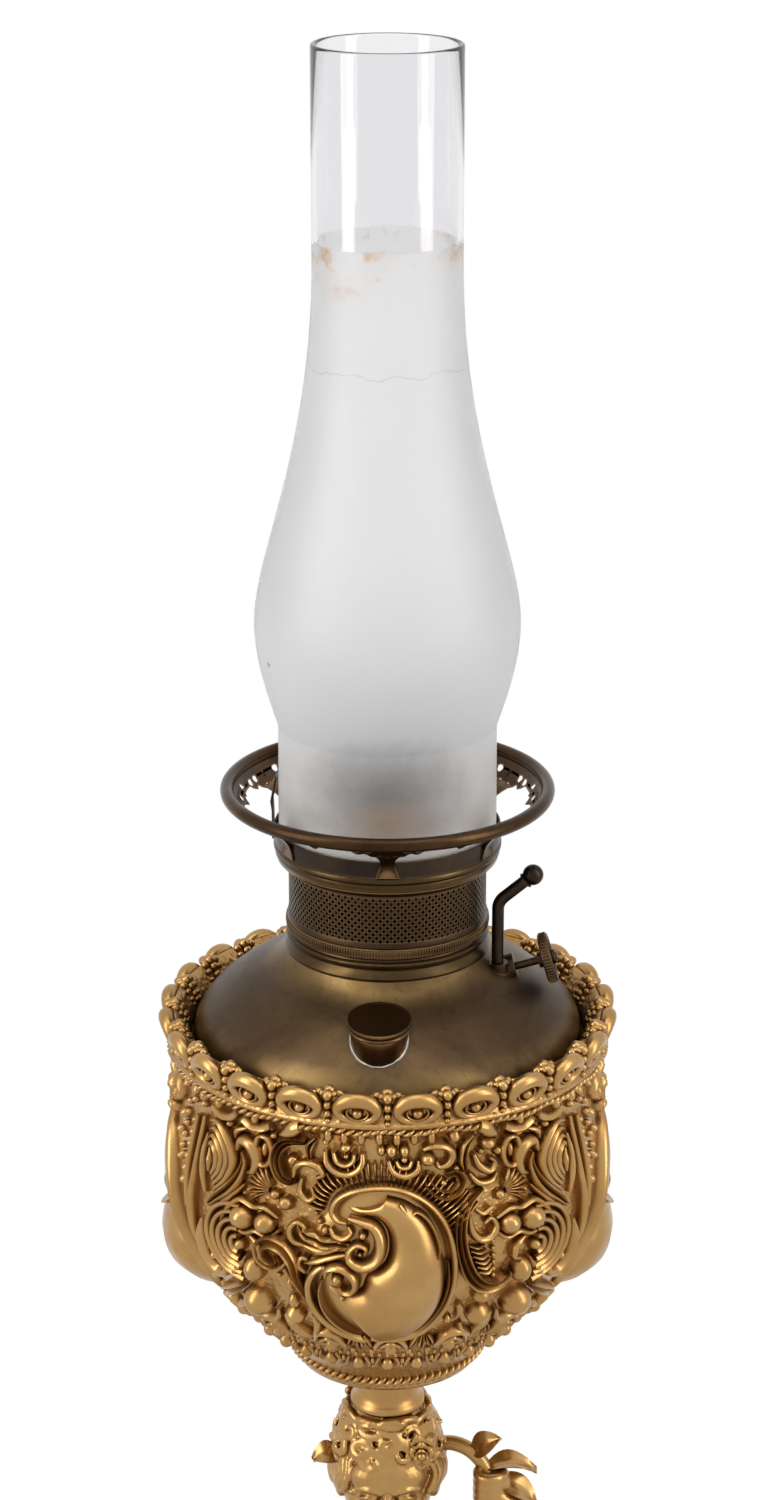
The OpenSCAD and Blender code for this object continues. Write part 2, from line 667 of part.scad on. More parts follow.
// Round wick, the ring that grips it, and the toothed rod that lifts the ring
module wick() { color(cotton) pipe(wick_out, wick_in, carrier_z - 12, wick_top); }
module wick_carrier() {
    rod_far = norm([rod_x, rod_y]);
    color(brass) difference() {
        union() {
            translate([0, 0, carrier_z]) cylinder(r = wick_out + 1.6, h = carrier_h);
            rotate(atan2(rod_y, rod_x)) translate([0, -3, carrier_z]) cube([rod_far, 6, arm_t]);
            translate([rod_x, rod_y, carrier_z]) cylinder(r = 4, h = arm_t);
        }
        translate([0, 0, carrier_z - 1]) cylinder(r = wick_out + slip, h = carrier_h + 2);
        translate([rod_x, rod_y, carrier_z - 1]) cylinder(r = rod_r + slip, h = arm_t + 2);
    }
}
module wick_rod() {
    foot = carrier_z;
    slot_rise = tooth_step / cos(shaft_tilt);
    below_mesh = ceil((wick_up + tip_r) / slot_rise);
    above_mesh = ceil((wick_down + tip_r) / slot_rise);
    color(dark) difference() {
        union() {
            translate([rod_x, rod_y, foot]) cylinder(r = rod_r, h = bend_z - foot + bend_lap);
            translate([rod_x + bend_r, rod_y, bend_z]) rotate([90, 0, 0]) rotate(180 - bend_turn)
                rotate_extrude(angle = bend_turn) translate([bend_r, 0]) circle(r = rod_r + bend_swell);
            translate([rod_x + bend_r, rod_y, bend_z]) rotate([0, bend_turn, 0])
                translate([-bend_r, 0, -bend_lap]) cylinder(r = rod_r, h = tail_run - ball_r + bend_lap);
        }
        for (i = [-below_mesh:above_mesh])
            translate([rod_x, rod_y + slot_floor + 2, pinion_z + i * slot_rise]) rotate([0, -shaft_tilt, 0])
                cube([12, 4, slot_h], center = true);
    }
}
module rod_ball() {
    color(dark) difference() {
        translate([rod_x + bend_r, rod_y, bend_z]) rotate([0, bend_turn, 0])
            translate([-bend_r, 0, tail_run]) sphere(r = ball_r);
        translate([rod_x + bend_r, rod_y, bend_z]) rotate([0, bend_turn, 0])
            translate([-bend_r, 0, 0]) cylinder(r = rod_r + slip, h = tail_run - ball_r + slip);
    }
}
// Pinion teeth, on a shaft that carries the knob
function spoke(r, a) = [r * cos(a), r * sin(a)];
function pinion_outline() = [
    for (i = [0:pinion_teeth - 1], c = [[root_r, -0.5], [tip_r, -0.22], [tip_r, 0.22], [root_r, 0.5]])
        spoke(c[0], -90 + i * 360 / pinion_teeth + c[1] / c[0] * 180 / PI)
];
module knob_shaft() {
    color(brass) shaft_axis() {
        translate([0, 0, -pinion_w / 2]) linear_extrude(pinion_w) polygon(pinion_outline());
        cylinder(r = shaft_r, h = knob_run + knob_t + 1.5);
        translate([0, 0, -3.5]) cylinder(r = shaft_r, h = 3.5);
    }
}
module wick_knob() {
    color(dark) shaft_axis() translate([0, 0, knob_run]) rotate_extrude() polygon([
        [shaft_r + slip, -1.5], [2.6, -1.5], [2.6, 0.6], [knob_r - 1.4, 0.6], [knob_r - 0.6, 0],
        [knob_r, 0.5], [knob_r, knob_t - 0.5], [knob_r - 0.6, knob_t], [knob_r - 1.6, knob_t - 0.8],
        [shaft_r + slip, knob_t - 0.8]]);
}
module knob_nut() {
    color(dark) shaft_axis() translate([0, 0, knob_run + knob_t - 0.8]) difference() {
        cylinder(r = 2.3, h = 2);
        translate([0, 0, -1]) cylinder(r = shaft_r + slip, h = 4);
    }
}

// Pierced band: rows of holes set half a step apart
module gallery_band() {
    row_step = (band_h - 2.4) / band_rows;
    color(brass) difference() {
        pipe(band_r, band_r - 0.8, band_z, flange_z);
        for (row = [0:band_rows - 1])
            around(band_holes, (row % 2) * 180 / band_holes)
                translate([band_r - 2, 0, band_z + 1.2 + row_step * (row + 0.5)])
                    rotate([0, 90, 0]) cylinder(r = band_hole_r, h = 4, $fn = 24);
    }
}
// Flange with the glass's seat inside its lip
module gallery_flange() {
    well_r = foot_ring_r;
    color(brass) rotate_extrude() polygon([
        [band_r - 1.6, flange_z], [band_r + 0.2, flange_z], [band_r + 0.2, flange_z + 0.8],
        [band_r - 0.2, flange_z + 1.4], [band_r + 0.8, flange_z + 2.2], [lip_r - 1.4, seat_z - 0.6],
        [lip_r - 0.2, seat_z + 1.6], [lip_r, lip_z - 0.8], [lip_r - 0.3, lip_z], [well_r, lip_z],
        [well_r, seat_z], [band_r - 1.6, seat_z]]);
}
// Ring for a glass shade: a roll, a pierced apron below it, arms and a foot ring
module shade_ring() {
    apron_r = ring_r - roll_r + 0.6;
    apron_top = [apron_r, ring_z - 0.8];
    apron_foot = [apron_r - apron_in, ring_z - apron_drop];
    arm = bezier([[foot_ring_r + 0.2, lip_z + foot_ring_h - 2], [foot_ring_r + 1.2, lip_z + foot_ring_h + 2],
        [apron_foot[0] - 4, apron_foot[1] - 1], [apron_foot[0] + 0.6, apron_foot[1] + 1.4]], 6);
    color(dark) {
        translate([0, 0, ring_z]) rotate_extrude() translate([ring_r, 0]) circle(r = roll_r);
        difference() {
            rotate_extrude()
                polygon([apron_top, apron_foot, apron_foot + [sheet, 0], apron_top + [sheet, 0]]);
            around(ring_arms, -90 + 180 / ring_arms) translate([apron_r - 10, 0, apron_foot[1] - 2])
                rotate([0, 90, 0]) cylinder(r = lobe_r, h = 20);
            around(ring_arms, -90) for (a = [-8, 0, 8]) rotate(a)
                translate([apron_r - 10, 0, ring_z - 4.6]) rotate([0, 90, 0]) cylinder(r = pierce_r, h = 20);
        }
        around(ring_arms, -90 - arm_deg / 2)
            rotate_extrude(angle = arm_deg) polygon(concat(arm, backwards(beside(arm, -sheet))));
        pipe(foot_ring_r + sheet, foot_ring_r, lip_z, lip_z + foot_ring_h);
    }
}
// Two flat springs that steady the glass
module chimney_springs() {
    inner = chimney_base_r + clear;
    color(dark) for (a = [178, 58]) rotate(a - 4) rotate_extrude(angle = 8) polygon([
        [foot_ring_r + sheet, lip_z], [foot_ring_r + sheet + 0.6, lip_z],
        [foot_ring_r + sheet + 0.6, lip_z + 9],
        [inner + 2.2, lip_z + 12], [inner + 0.6, lip_z + 20], [inner, lip_z + 20], [inner + 1.4, lip_z + 12],
        [foot_ring_r + sheet, lip_z + 8]]);
}

// Bulged glass, open at both ends
function glass_outline() = concat(
    [[chimney_base_r, 0], [chimney_base_r - 0.2, waist_z]],
    bezier([[chimney_base_r, waist_z + 0.6], [chimney_bulge_r - 2.4, waist_z + 13],
        [chimney_bulge_r, bulge_z - 12], [chimney_bulge_r, bulge_z]], 10),
    tail(bezier([[chimney_bulge_r, bulge_z], [chimney_bulge_r, bulge_z + 20],
        [chimney_top_r, straight_z - 56], [chimney_top_r, straight_z]], 16)),
    [[chimney_top_r, chimney_h]]);
module glass_chimney() {
    outline = glass_outline();
    color(glass) translate([0, 0, seat_z + slip]) rotate_extrude()
        polygon(concat(outline, backwards(beside(outline, glass_t))));
}

// Thimble that spreads the draught through the flame, and its cap
module spreader_thimble() {
    sleeve_r = draft_bore - run_gap;
    wall = 0.8;
    rim = tube_z + 1;
    top = tube_z + 20;
    color(dark) difference() {
        rotate_extrude() polygon([
            [sleeve_r - wall, tube_z - 22], [sleeve_r, tube_z - 22], [sleeve_r, tube_z],
            [draft_r - 0.2, tube_z],
            [draft_r - 0.2, rim], [sleeve_r + 0.4, rim], [sleeve_r + 0.4, top], [sleeve_r - wall, top]]);
        for (row = [0:2]) around(12, row * 15) translate([sleeve_r - 3, 0, rim + 4.5 + row * 4.5])
            rotate([0, 90, 0]) cylinder(r = 1, h = 6, $fn = 24);
    }
}
module spreader_cap() {
    top = tube_z + 20;
    color(dark) rotate_extrude() polygon(concat(
        [[0, top], [draft_bore + 1.8, top], [draft_bore + 2.4, top + 0.8]],
        bezier([[draft_bore + 1.8, top + 1.6], [draft_bore - 3, top + 5], [4, top + 8.6], [0, top + 9]], 6)));
}

base_dome();
base_feet();
foot_screws();
base_bolt();
figure_ground();
figure_body();
figure_head();
figure_left_arm();
figure_right_arm();
flower_branch();
neck_collar();
neck_stud();
bowl();
bowl_crown();
bowl_washer();
bowl_nut();
font_pan();
font_shoulder();
filler_neck();
draft_tube();
outer_wick_tube();
burner_collar();
rack_housing();
filler_cap();
filler_gasket();
wick();
wick_carrier();
wick_rod();
rod_ball();
knob_shaft();
wick_knob();
knob_nut();
gallery_band();
gallery_flange();
shade_ring();
chimney_springs();
glass_chimney();
spreader_thimble();
spreader_cap();
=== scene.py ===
import math

import bmesh
import bpy
import numpy as np
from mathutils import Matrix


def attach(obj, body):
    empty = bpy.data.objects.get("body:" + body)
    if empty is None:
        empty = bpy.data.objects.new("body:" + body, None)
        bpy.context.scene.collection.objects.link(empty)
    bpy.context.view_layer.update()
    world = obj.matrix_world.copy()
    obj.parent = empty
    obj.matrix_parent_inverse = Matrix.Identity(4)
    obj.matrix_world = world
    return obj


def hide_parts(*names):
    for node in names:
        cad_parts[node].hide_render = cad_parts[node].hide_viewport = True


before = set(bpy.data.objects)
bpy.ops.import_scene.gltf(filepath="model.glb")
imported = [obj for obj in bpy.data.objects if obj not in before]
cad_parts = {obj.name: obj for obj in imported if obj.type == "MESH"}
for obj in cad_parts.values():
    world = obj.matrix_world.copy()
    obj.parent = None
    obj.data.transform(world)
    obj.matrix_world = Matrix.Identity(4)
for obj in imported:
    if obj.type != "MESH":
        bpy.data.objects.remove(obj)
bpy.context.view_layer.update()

# Base casting: a hollow round dome of spelter, cast in one piece and gilt.
# It stands on four scroll feet and carries the figure's ground on its top plate.
MM = 0.001


def bezier(a, b, c, d, steps):
    """A curve from a to d, drawn towards b and c."""
    t = np.linspace(0, 1, steps + 1)[:, None]
    a, b, c, d = (np.array(p, float) for p in (a, b, c, d))
    return (1 - t) ** 3 * a + 3 * t * (1 - t) ** 2 * b + 3 * t * t * (1 - t) * c + t ** 3 * d


def turned(outline, steps):
    """A closed outline of (radius, height) points turned about Z."""
    outline = np.array(outline, float)
    turn = np.linspace(0, 2 * math.pi, steps, endpoint=False)
    rings = len(outline)
    verts = np.stack([
        np.outer(outline[:, 0], np.cos(turn)),
        np.outer(outline[:, 0], np.sin(turn)),
        np.repeat(outline[:, 1:], steps, axis=1)], axis=-1).reshape(-1, 3)
    faces = []
    for i in range(rings):
        k = (i + 1) % rings
        for j in range(steps):
            m = (j + 1) % steps
            faces.append((i * steps + j, i * steps + m, k * steps + m, k * steps + j))
    return verts, faces


def gathered(parts):
    """Several (verts, faces) as one."""
    verts, faces, first = [], [], 0
    for part_verts, part_faces in parts:
        verts.append(np.asarray(part_verts, float))
        faces += [tuple(first + i for i in face) for face in part_faces]
        first += len(part_verts)
    return np.concatenate(verts), faces


def solid(name, parts):
    """A mesh object in metres, its doubles merged and its faces outwards."""
    verts, faces = gathered(parts)
    mesh = bpy.data.meshes.new(name)
    mesh.from_pydata((verts * MM).tolist(), [], faces)
    work = bmesh.new()
    work.from_mesh(mesh)
    bmesh.ops.remove_doubles(work, verts=work.verts, dist=0.004 * MM)
    bmesh.ops.recalc_face_normals(work, faces=work.faces)
    work.to_mesh(mesh)
    work.free()
    piece = bpy.data.objects.new(name, mesh)
    bpy.context.collection.objects.link(piece)
    return piece


def fixed(piece, material, body, nodes=(), crease=38):
    """Gives a finished piece its material, its body and the nodes that it stands for."""
    piece.data.materials.clear()
    piece.data.materials.append(material)
    piece.data.shade_smooth()
    piece.data.set_sharp_from_angle(angle=math.radians(crease))
    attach(piece, body)
    if nodes:
        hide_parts(*nodes)


def plugged(tree, node, sockets):
    """Sets a node's sockets, or links them where a socket is given."""
    for key, value in sockets.items():
        if isinstance(value, bpy.types.NodeSocket):
            tree.links.new(value, node.inputs[key])
        else:
            node.inputs[key].default_value = value


def wire(tree, kind, sockets=None, **settings):
    """A node with its settings made and its sockets set or linked."""
    node = tree.nodes.new(kind)
    for key, value in settings.items():
        setattr(node, key, value)
    plugged(tree, node, sockets or {})
    return node


def ramp(tree, factor, stops):
    """A colour ramp through (place, colour) stops."""
    node = wire(tree, "ShaderNodeValToRGB", {"Fac": factor})
    cells = node.color_ramp.elements
    while len(cells) < len(stops):
        cells.new(0.5)
    for cell, (place, colour) in zip(cells, stops):
        cell.position = place
        cell.color = (*colour, 1)
    return node.outputs["Color"]


def between(tree, factor, low, high, start=0.0, end=1.0):
    """A factor from start to end mapped to low to high."""
    node = wire(tree, "ShaderNodeMapRange", {0: factor, 1: start, 2: end, 3: low, 4: high})
    return node.outputs[0]


def blended(tree, factor, first, second, mode="MIX"):
    """Two colours mixed by a factor."""
    sockets = {0: factor, 6: first, 7: second}
    return wire(tree, "ShaderNodeMix", sockets, data_type="RGBA", blend_type=mode).outputs[2]


def new_finish(name):
    """A new material, its tree, its shader and the place on the object."""
    material = bpy.data.materials.new(name)
    material.use_nodes = True
    tree = material.node_tree
    place = wire(tree, "ShaderNodeTexCoord").outputs["Object"]
    return material, tree, tree.nodes["Principled BSDF"], place


def noise(tree, place, scale, detail, **more):
    """A cloudy pattern over the piece, of that scale and detail."""
    sockets = {"Vector": place, "Scale": scale, "Detail": detail, **more}
    return wire(tree, "ShaderNodeTexNoise", sockets).outputs["Fac"]


def bumped(tree, height, strength, distance):
    """The surface's direction on a pattern of that height, in millimetres."""
    sockets = {"Height": height, "Strength": strength, "Distance": distance * MM}
    return wire(tree, "ShaderNodeBump", sockets).outputs["Normal"]


def gilt_finish(name, stipple):
    """Gold bronze over spelter: bright where it is rubbed, with painted shade that browns the hollows."""
    material, tree, skin, place = new_finish(name)
    cloud = noise(tree, place, 38.0, 5.0, Roughness=0.62)
    # Painted shade: an occlusion mask turns the gold dark brown in the hollows, where shade falls.
    shade_occlusion = wire(tree, "ShaderNodeAmbientOcclusion", {"Distance": 3.5 * MM}, samples=6)
    painted_shade_gold = ramp(tree, shade_occlusion.outputs["AO"], [
        (0.05, (0.21, 0.1, 0.029)), (0.35, (0.35, 0.198, 0.069)), (0.85, (0.46, 0.274, 0.1))])
    worn = ramp(tree, cloud, [(0.3, (0.78, 0.72, 0.62)), (0.62, (1.0, 1.0, 1.0))])
    colour = blended(tree, 1.0, painted_shade_gold, worn, "MULTIPLY")
    if stipple:
        pits = wire(tree, "ShaderNodeTexVoronoi", {"Vector": place, "Scale": 620.0}, feature="SMOOTH_F1")
        dots = between(tree, pits.outputs["Distance"], 1.0, 0.0, 0.0, 0.6)
        grain = bumped(tree, dots, 0.5, 0.4)
    else:
        grain = bumped(tree, noise(tree, place, 1500.0, 2.0), 0.12, 0.15)
    plugged(tree, skin, {
        "Base Color": colour, "Metallic": 0.9,
        "Roughness": between(tree, cloud, 0.38, 0.24, 0.3, 0.7), "Normal": grain})
    return material


gilt_stippled = gilt_finish("gilt_stippled", True)

base_wall = np.concatenate([
    [(63.2, 14), (65.2, 14.6), (66, 16), (66, 19.5), (65, 20.8), (63.4, 21.4)],
    bezier((63, 22), (60, 38), (37, 32), (33, 60), 26),
    [(33.4, 60.8), (35.2, 61.4), (36, 62.6), (36, 65.6), (35.4, 67), (34, 68)]])
base_inside = bezier((60, 14), (56, 36), (34, 32), (28, 64), 20)
base_line = np.concatenate([base_wall, [(0, 68), (0, 64)], base_inside[::-1]])
base_casting = solid("base_casting", [turned(base_line, 144)])
fixed(base_casting, gilt_stippled, "stand", ["base_dome"])


# Scroll feet: four solid castings, each a rolled volute under the rim with ribs
# over its back and a spiral on each side, drawn up to the dome by a screw from
# below.
def sum_of(tree, operation, a, b=0.0):
    """Two values joined by a Math node."""
    return wire(tree, "ShaderNodeMath", {0: a, 1: b}, operation=operation).outputs[0]


def ring_tree():
    """Geometry Nodes: the pattern on the object repeated round the lamp's axis, in rows if asked."""
    tree = bpy.data.node_groups.new("ring_of_copies", "GeometryNodeTree")
    sockets = {}
    tree.interface.new_socket("Geometry", in_out="OUTPUT", socket_type="NodeSocketGeometry")
    for name, kind in (
            ("Geometry", "Geometry"), ("Count", "Int"), ("Rows", "Int"), ("Row Height", "Float"),
            ("Row Turn", "Float"), ("Start", "Float"), ("Weld", "Float"), ("Material", "Material")):
        item = tree.interface.new_socket(name, in_out="INPUT", socket_type="NodeSocket" + kind)
        sockets[name] = item.identifier
    given = wire(tree, "NodeGroupInput").outputs
    number = wire(tree, "GeometryNodeInputIndex").outputs[0]
    row = sum_of(tree, "FLOOR", sum_of(tree, "DIVIDE", sum_of(tree, "ADD", number, 0.5), given["Count"]))
    column = sum_of(tree, "SUBTRACT", number, sum_of(tree, "MULTIPLY", row, given["Count"]))
    step = sum_of(tree, "DIVIDE", 2 * math.pi, given["Count"])
    angle = sum_of(tree, "ADD", given["Start"], sum_of(tree, "MULTIPLY", column, step))
    angle = sum_of(tree, "ADD", angle, sum_of(tree, "MULTIPLY", row, given["Row Turn"]))
    level = wire(tree, "ShaderNodeCombineXYZ", {"Z": sum_of(tree, "MULTIPLY", row, given["Row Height"])})
    points = wire(tree, "GeometryNodePoints", {
        "Count": sum_of(tree, "MULTIPLY", given["Count"], given["Rows"]), "Position": level.outputs[0]})
    facing = wire(tree, "FunctionNodeEulerToRotation", {
        "Euler": wire(tree, "ShaderNodeCombineXYZ", {"Z": angle}).outputs[0]})
    copies = wire(tree, "GeometryNodeInstanceOnPoints", {
        "Points": points.outputs[0], "Instance": given["Geometry"], "Rotation": facing.outputs[0]})
    real = wire(tree, "GeometryNodeRealizeInstances", {"Geometry": copies.outputs[0]})
    joined = wire(tree, "GeometryNodeMergeByDistance",
                  {"Geometry": real.outputs[0], "Distance": given["Weld"]})
    dressed = wire(tree, "GeometryNodeSetMaterial",
                   {"Geometry": joined.outputs[0], "Material": given["Material"]})
    wire(tree, "NodeGroupOutput", {"Geometry": dressed.outputs[0]})
    return tree, sockets


copies_tree, copies_sockets = ring_tree()


def settled(piece):
    """A piece whose modifiers are made plain mesh and taken off."""
    piece.update_tag()
    mesh = bpy.data.meshes.new_from_object(piece.evaluated_get(bpy.context.evaluated_depsgraph_get()))
    piece.modifiers.clear()
    pattern = piece.data
    piece.data = mesh
    bpy.data.meshes.remove(pattern)
    mesh.name = piece.name
    return piece


def repeated(name, parts, material, count, start=0.0, rows=1, row_height=0.0, row_turn=0.0, weld=0.002):
    """One pattern repeated round the axis by Geometry Nodes and turned into a plain mesh."""
    piece = solid(name, parts)
    rule = piece.modifiers.new("copies", "NODES")
    rule.node_group = copies_tree
    for key, value in (
            ("Count", count), ("Rows", rows), ("Row Height", row_height * MM), ("Row Turn", row_turn),
            ("Start", math.radians(start)), ("Weld", weld * MM), ("Material", material)):
        rule[copies_sockets[key]] = value
    return settled(piece)


def slab(outline, half):
    """A closed (radius, height) outline as a plate of that half width across the radius."""
    outline = np.array(outline, float)
    n = len(outline)
    verts = np.concatenate([
        np.stack([outline[:, 0], np.full(n, -half), outline[:, 1]], axis=1),
        np.stack([outline[:, 0], np.full(n, half), outline[:, 1]], axis=1)])
    faces = [tuple(range(n)), tuple(range(2 * n - 1, n - 1, -1))]
    faces += [(i, (i + 1) % n, n + (i + 1) % n, n + i) for i in range(n)]
    return verts, faces


def tube(points, section):
    """A round bar along (x, y, z, radius) points."""
    line = np.array(points, float)
    run = np.gradient(line[:, :3], axis=0)
    run /= np.linalg.norm(run, axis=1)[:, None]
    side = np.cross(run[0], [0.31, 0.17, 0.93])
    verts = []
    turn = np.linspace(0, 2 * math.pi, section, endpoint=False)
    for place, way in zip(line, run):
        side = side - way * np.dot(side, way)
        side /= np.linalg.norm(side)
        other = np.cross(way, side)
        verts.append(place[:3] + place[3] * (np.outer(np.cos(turn), side) + np.outer(np.sin(turn), other)))
    faces = []
    for i in range(len(line) - 1):
        for j in range(section):
            k = (j + 1) % section
            faces.append((i * section + j, i * section + k, (i + 1) * section + k, (i + 1) * section + j))
    faces.append(tuple(range(section - 1, -1, -1)))
    faces.append(tuple((len(line) - 1) * section + j for j in range(section)))
    return np.concatenate(verts), faces


gilt = gilt_finish("gilt", False)
foot_middle = (77.75, 9.75)
foot_roll_r, foot_half = 10.2, 7.6
foot_roll = [(foot_middle[0] + foot_roll_r * math.cos(a),
              max(0.0, foot_middle[1] + foot_roll_r * math.sin(a)))
             for a in np.linspace(-0.5 * math.pi, 0.72 * math.pi, 26)]
foot_outline = foot_roll + [(67.2, 14), (50.5, 13.9), (48.5, 10), (60.5, 6), (67, 5), (72, 0)]
foot_parts = [slab(foot_outline, foot_half)]
for side in (-1, 1):
    spiral = []
    for t in np.arange(46) / 45:
        angle = 2.2 - 3.6 * math.pi * t
        far = 9.2 * (1 - t) ** 0.8 + 0.8
        spiral.append((foot_middle[0] + far * math.cos(angle), side * (7.4 + 0.9 * t),
                       max(1.3, foot_middle[1] + far * math.sin(angle)), 1.25 - 0.5 * t))
    foot_parts.append(tube(spiral, 8))
foot_line = [(foot_middle[0] + foot_roll_r * math.cos(a), foot_middle[1] + foot_roll_r * math.sin(a))
             for a in np.linspace(-0.5, 2.35, 9)]
for k, across in enumerate((-4.6, 0.0, 4.6)):
    foot_parts.append(tube([(x, across, z, 1.5 if k == 1 else 1.15) for x, z in foot_line], 8))
foot_count, foot_turn = 4, 45
feet = repeated("scroll_feet", foot_parts, gilt, foot_count, foot_turn)
fixed(feet, gilt, "stand", ["base_feet"], 50)


# Relief on the base: an acanthus leaf over each foot, a shell between the
# feet, and scrolls that tie them together, all cast with the dome.
def eased(points, steps):
    """A smooth line through the points; every column, width and height too, is eased alike."""
    points = np.array(points, float)
    ends = np.concatenate([[2 * points[0] - points[1]], points, [2 * points[-1] - points[-2]]])
    t = np.linspace(0, 1, steps, endpoint=False)[:, None]
    line = []
    for a, b, c, d in zip(ends, ends[1:], ends[2:], ends[3:]):
        line.append(0.5 * (2 * b + (c - a) * t + (2 * a - 5 * b + 4 * c - d) * t ** 2
                           + (3 * b - a - 3 * c + d) * t ** 3))
    line.append(points[-1:])
    line = np.concatenate(line)
    line[:, 2:] = np.maximum(line[:, 2:], 0.02)
    return line


relief_root = 1.2


def blade(points, shape, lift=0.0, steps=7, lobes=0, sunk=relief_root, loop=False):
    """A raised band of relief on a flat pattern: points are (across, up, half width, height)."""
    line = np.array(points, float) if loop else eased(points, steps)
    count = {"round": 9, "rimmed": 11, "fluted": 15, "leaf": 11}[shape]
    x = -np.cos(np.linspace(0, math.pi, count)) if shape == "round" else np.linspace(-1, 1, count)
    t = np.linspace(0, 1, len(line))[:, None]
    if shape == "round":
        y = np.sqrt(np.maximum(1 - x * x, 0))
    elif shape == "rimmed":
        y = (0.5 + 0.5 * np.cos(2 * math.pi * (np.abs(x) - 0.62) / 1.24)) * 0.6 + 0.4 * (1 - x ** 8)
    elif shape == "fluted":
        y = (0.66 + 0.34 * np.cos(3 * math.pi * x)) * (1 - np.abs(x) ** 7) ** 0.5
    else:
        vein = 1 - ((np.abs(x) - 0.55) / 0.62) ** 2
        y = vein * (0.82 + 0.18 * np.cos(2 * math.pi * (lobes * t - 0.5 * np.abs(x))))
    edge = 1 - 0.3 * (0.5 - 0.5 * np.cos(2 * math.pi * lobes * t)) if lobes else 1.0
    run = np.gradient(line[:, :2], axis=0)
    if loop:
        run = np.roll(line[:, :2], -1, axis=0) - np.roll(line[:, :2], 1, axis=0)
    run /= np.maximum(np.linalg.norm(run, axis=1), 1e-9)[:, None]
    side = np.stack([-run[:, 1], run[:, 0]], axis=1)
    reach = line[:, 2:3] * edge * x
    verts = np.zeros((len(line), count + 2, 3))
    verts[:, 1:-1, 0] = line[:, 0:1] + side[:, 0:1] * reach
    verts[:, 1:-1, 1] = line[:, 1:2] + side[:, 1:2] * reach
    verts[:, 1:-1, 2] = lift + line[:, 3:4] * np.maximum(y, 0)
    for end, inner in ((0, 1), (-1, -2)):
        verts[:, end, :2] = verts[:, inner, :2]
        verts[:, end, 2] = -sunk
    wide = count + 2
    rows = len(line)
    faces = []
    for i in range(rows if loop else rows - 1):
        n = (i + 1) % rows
        for j in range(wide):
            k = (j + 1) % wide
            faces.append((i * wide + j, i * wide + k, n * wide + k, n * wide + j))
    if not loop:
        faces.append(tuple(range(wide)))
        faces.append(tuple((rows - 1) * wide + j for j in range(wide - 1, -1, -1)))
    return verts.reshape(-1, 3), faces


def bead(across, up, radius, height, tall=None, lift=0.0, around=14, rings=5):
    """A round or oval bead on a flat pattern."""
    tall = radius if tall is None else tall
    turn = np.linspace(0, 2 * math.pi, around, endpoint=False)
    root = np.full(around, -relief_root)
    verts = [np.stack([across + radius * np.cos(turn), up + tall * np.sin(turn), root], axis=1)]
    for i in range(rings):
        rise = 0.5 * math.pi * i / rings
        verts.append(np.stack([
            across + radius * math.cos(rise) * np.cos(turn),
            up + tall * math.cos(rise) * np.sin(turn),
            np.full(around, lift + height * math.sin(rise))], axis=1))
    verts.append(np.array([[across, up, lift + height]]))
    faces = [tuple(range(around - 1, -1, -1))]
    for i in range(rings):
        for j in range(around):
            k = (j + 1) % around
            faces.append((i * around + j, i * around + k, (i + 1) * around + k, (i + 1) * around + j))
    top = (rings + 1) * around
    for j in range(around):
        faces.append((rings * around + j, rings * around + (j + 1) % around, top))
    return np.concatenate(verts), faces


def scroll(middle, heading, halves, turns, widths, heights, shape="round"):
    """A scroll drawn from its middle outwards; each half has a length and a turn that winds up."""
    steps, halves_done = 16, []
    for way, length, turn in zip((-1, 1), halves, turns):
        s = np.linspace(0, 1, steps + 1)
        angle = math.radians(heading) + (math.pi if way < 0 else 0) + math.radians(turn) * s ** 2.1
        step = length / steps
        mid = 0.5 * (angle[1:] + angle[:-1])
        x = middle[0] + np.concatenate([[0], np.cumsum(np.cos(mid) * step)])
        y = middle[1] + np.concatenate([[0], np.cumsum(np.sin(mid) * step)])
        wide = widths[0] + (widths[1] - widths[0]) * s ** 1.2
        tall = heights[0] + (heights[1] - heights[0]) * s
        halves_done.append(np.stack([x, y, wide, tall], axis=1))
    line = np.concatenate([halves_done[0][:0:-1], halves_done[1]])
    parts = [blade(line, shape, steps=1)]
    for half in halves_done:
        x, y, wide, tall = half[-1]
        parts.append(bead(x, y, wide * 1.25, tall * 1.15, around=10, rings=4))
    return gathered(parts)


def wrapped(part, wall, girth, turn=0.0):
    """A flat pattern laid round a turned wall: across goes round it, up is height, lift stands off it."""
    verts, faces = part
    wall = np.array(wall, float)
    run = np.gradient(wall, axis=0)
    run /= np.linalg.norm(run, axis=1)[:, None]
    up = verts[:, 1]
    radius = np.interp(up, wall[:, 1], wall[:, 0])
    out = np.interp(up, wall[:, 1], run[:, 1])
    rise = np.interp(up, wall[:, 1], -run[:, 0])
    angle = math.radians(turn) + verts[:, 0] / girth
    radius = radius + verts[:, 2] * out
    verts = np.stack([radius * np.cos(angle), radius * np.sin(angle), up + verts[:, 2] * rise], axis=1)
    return verts, faces


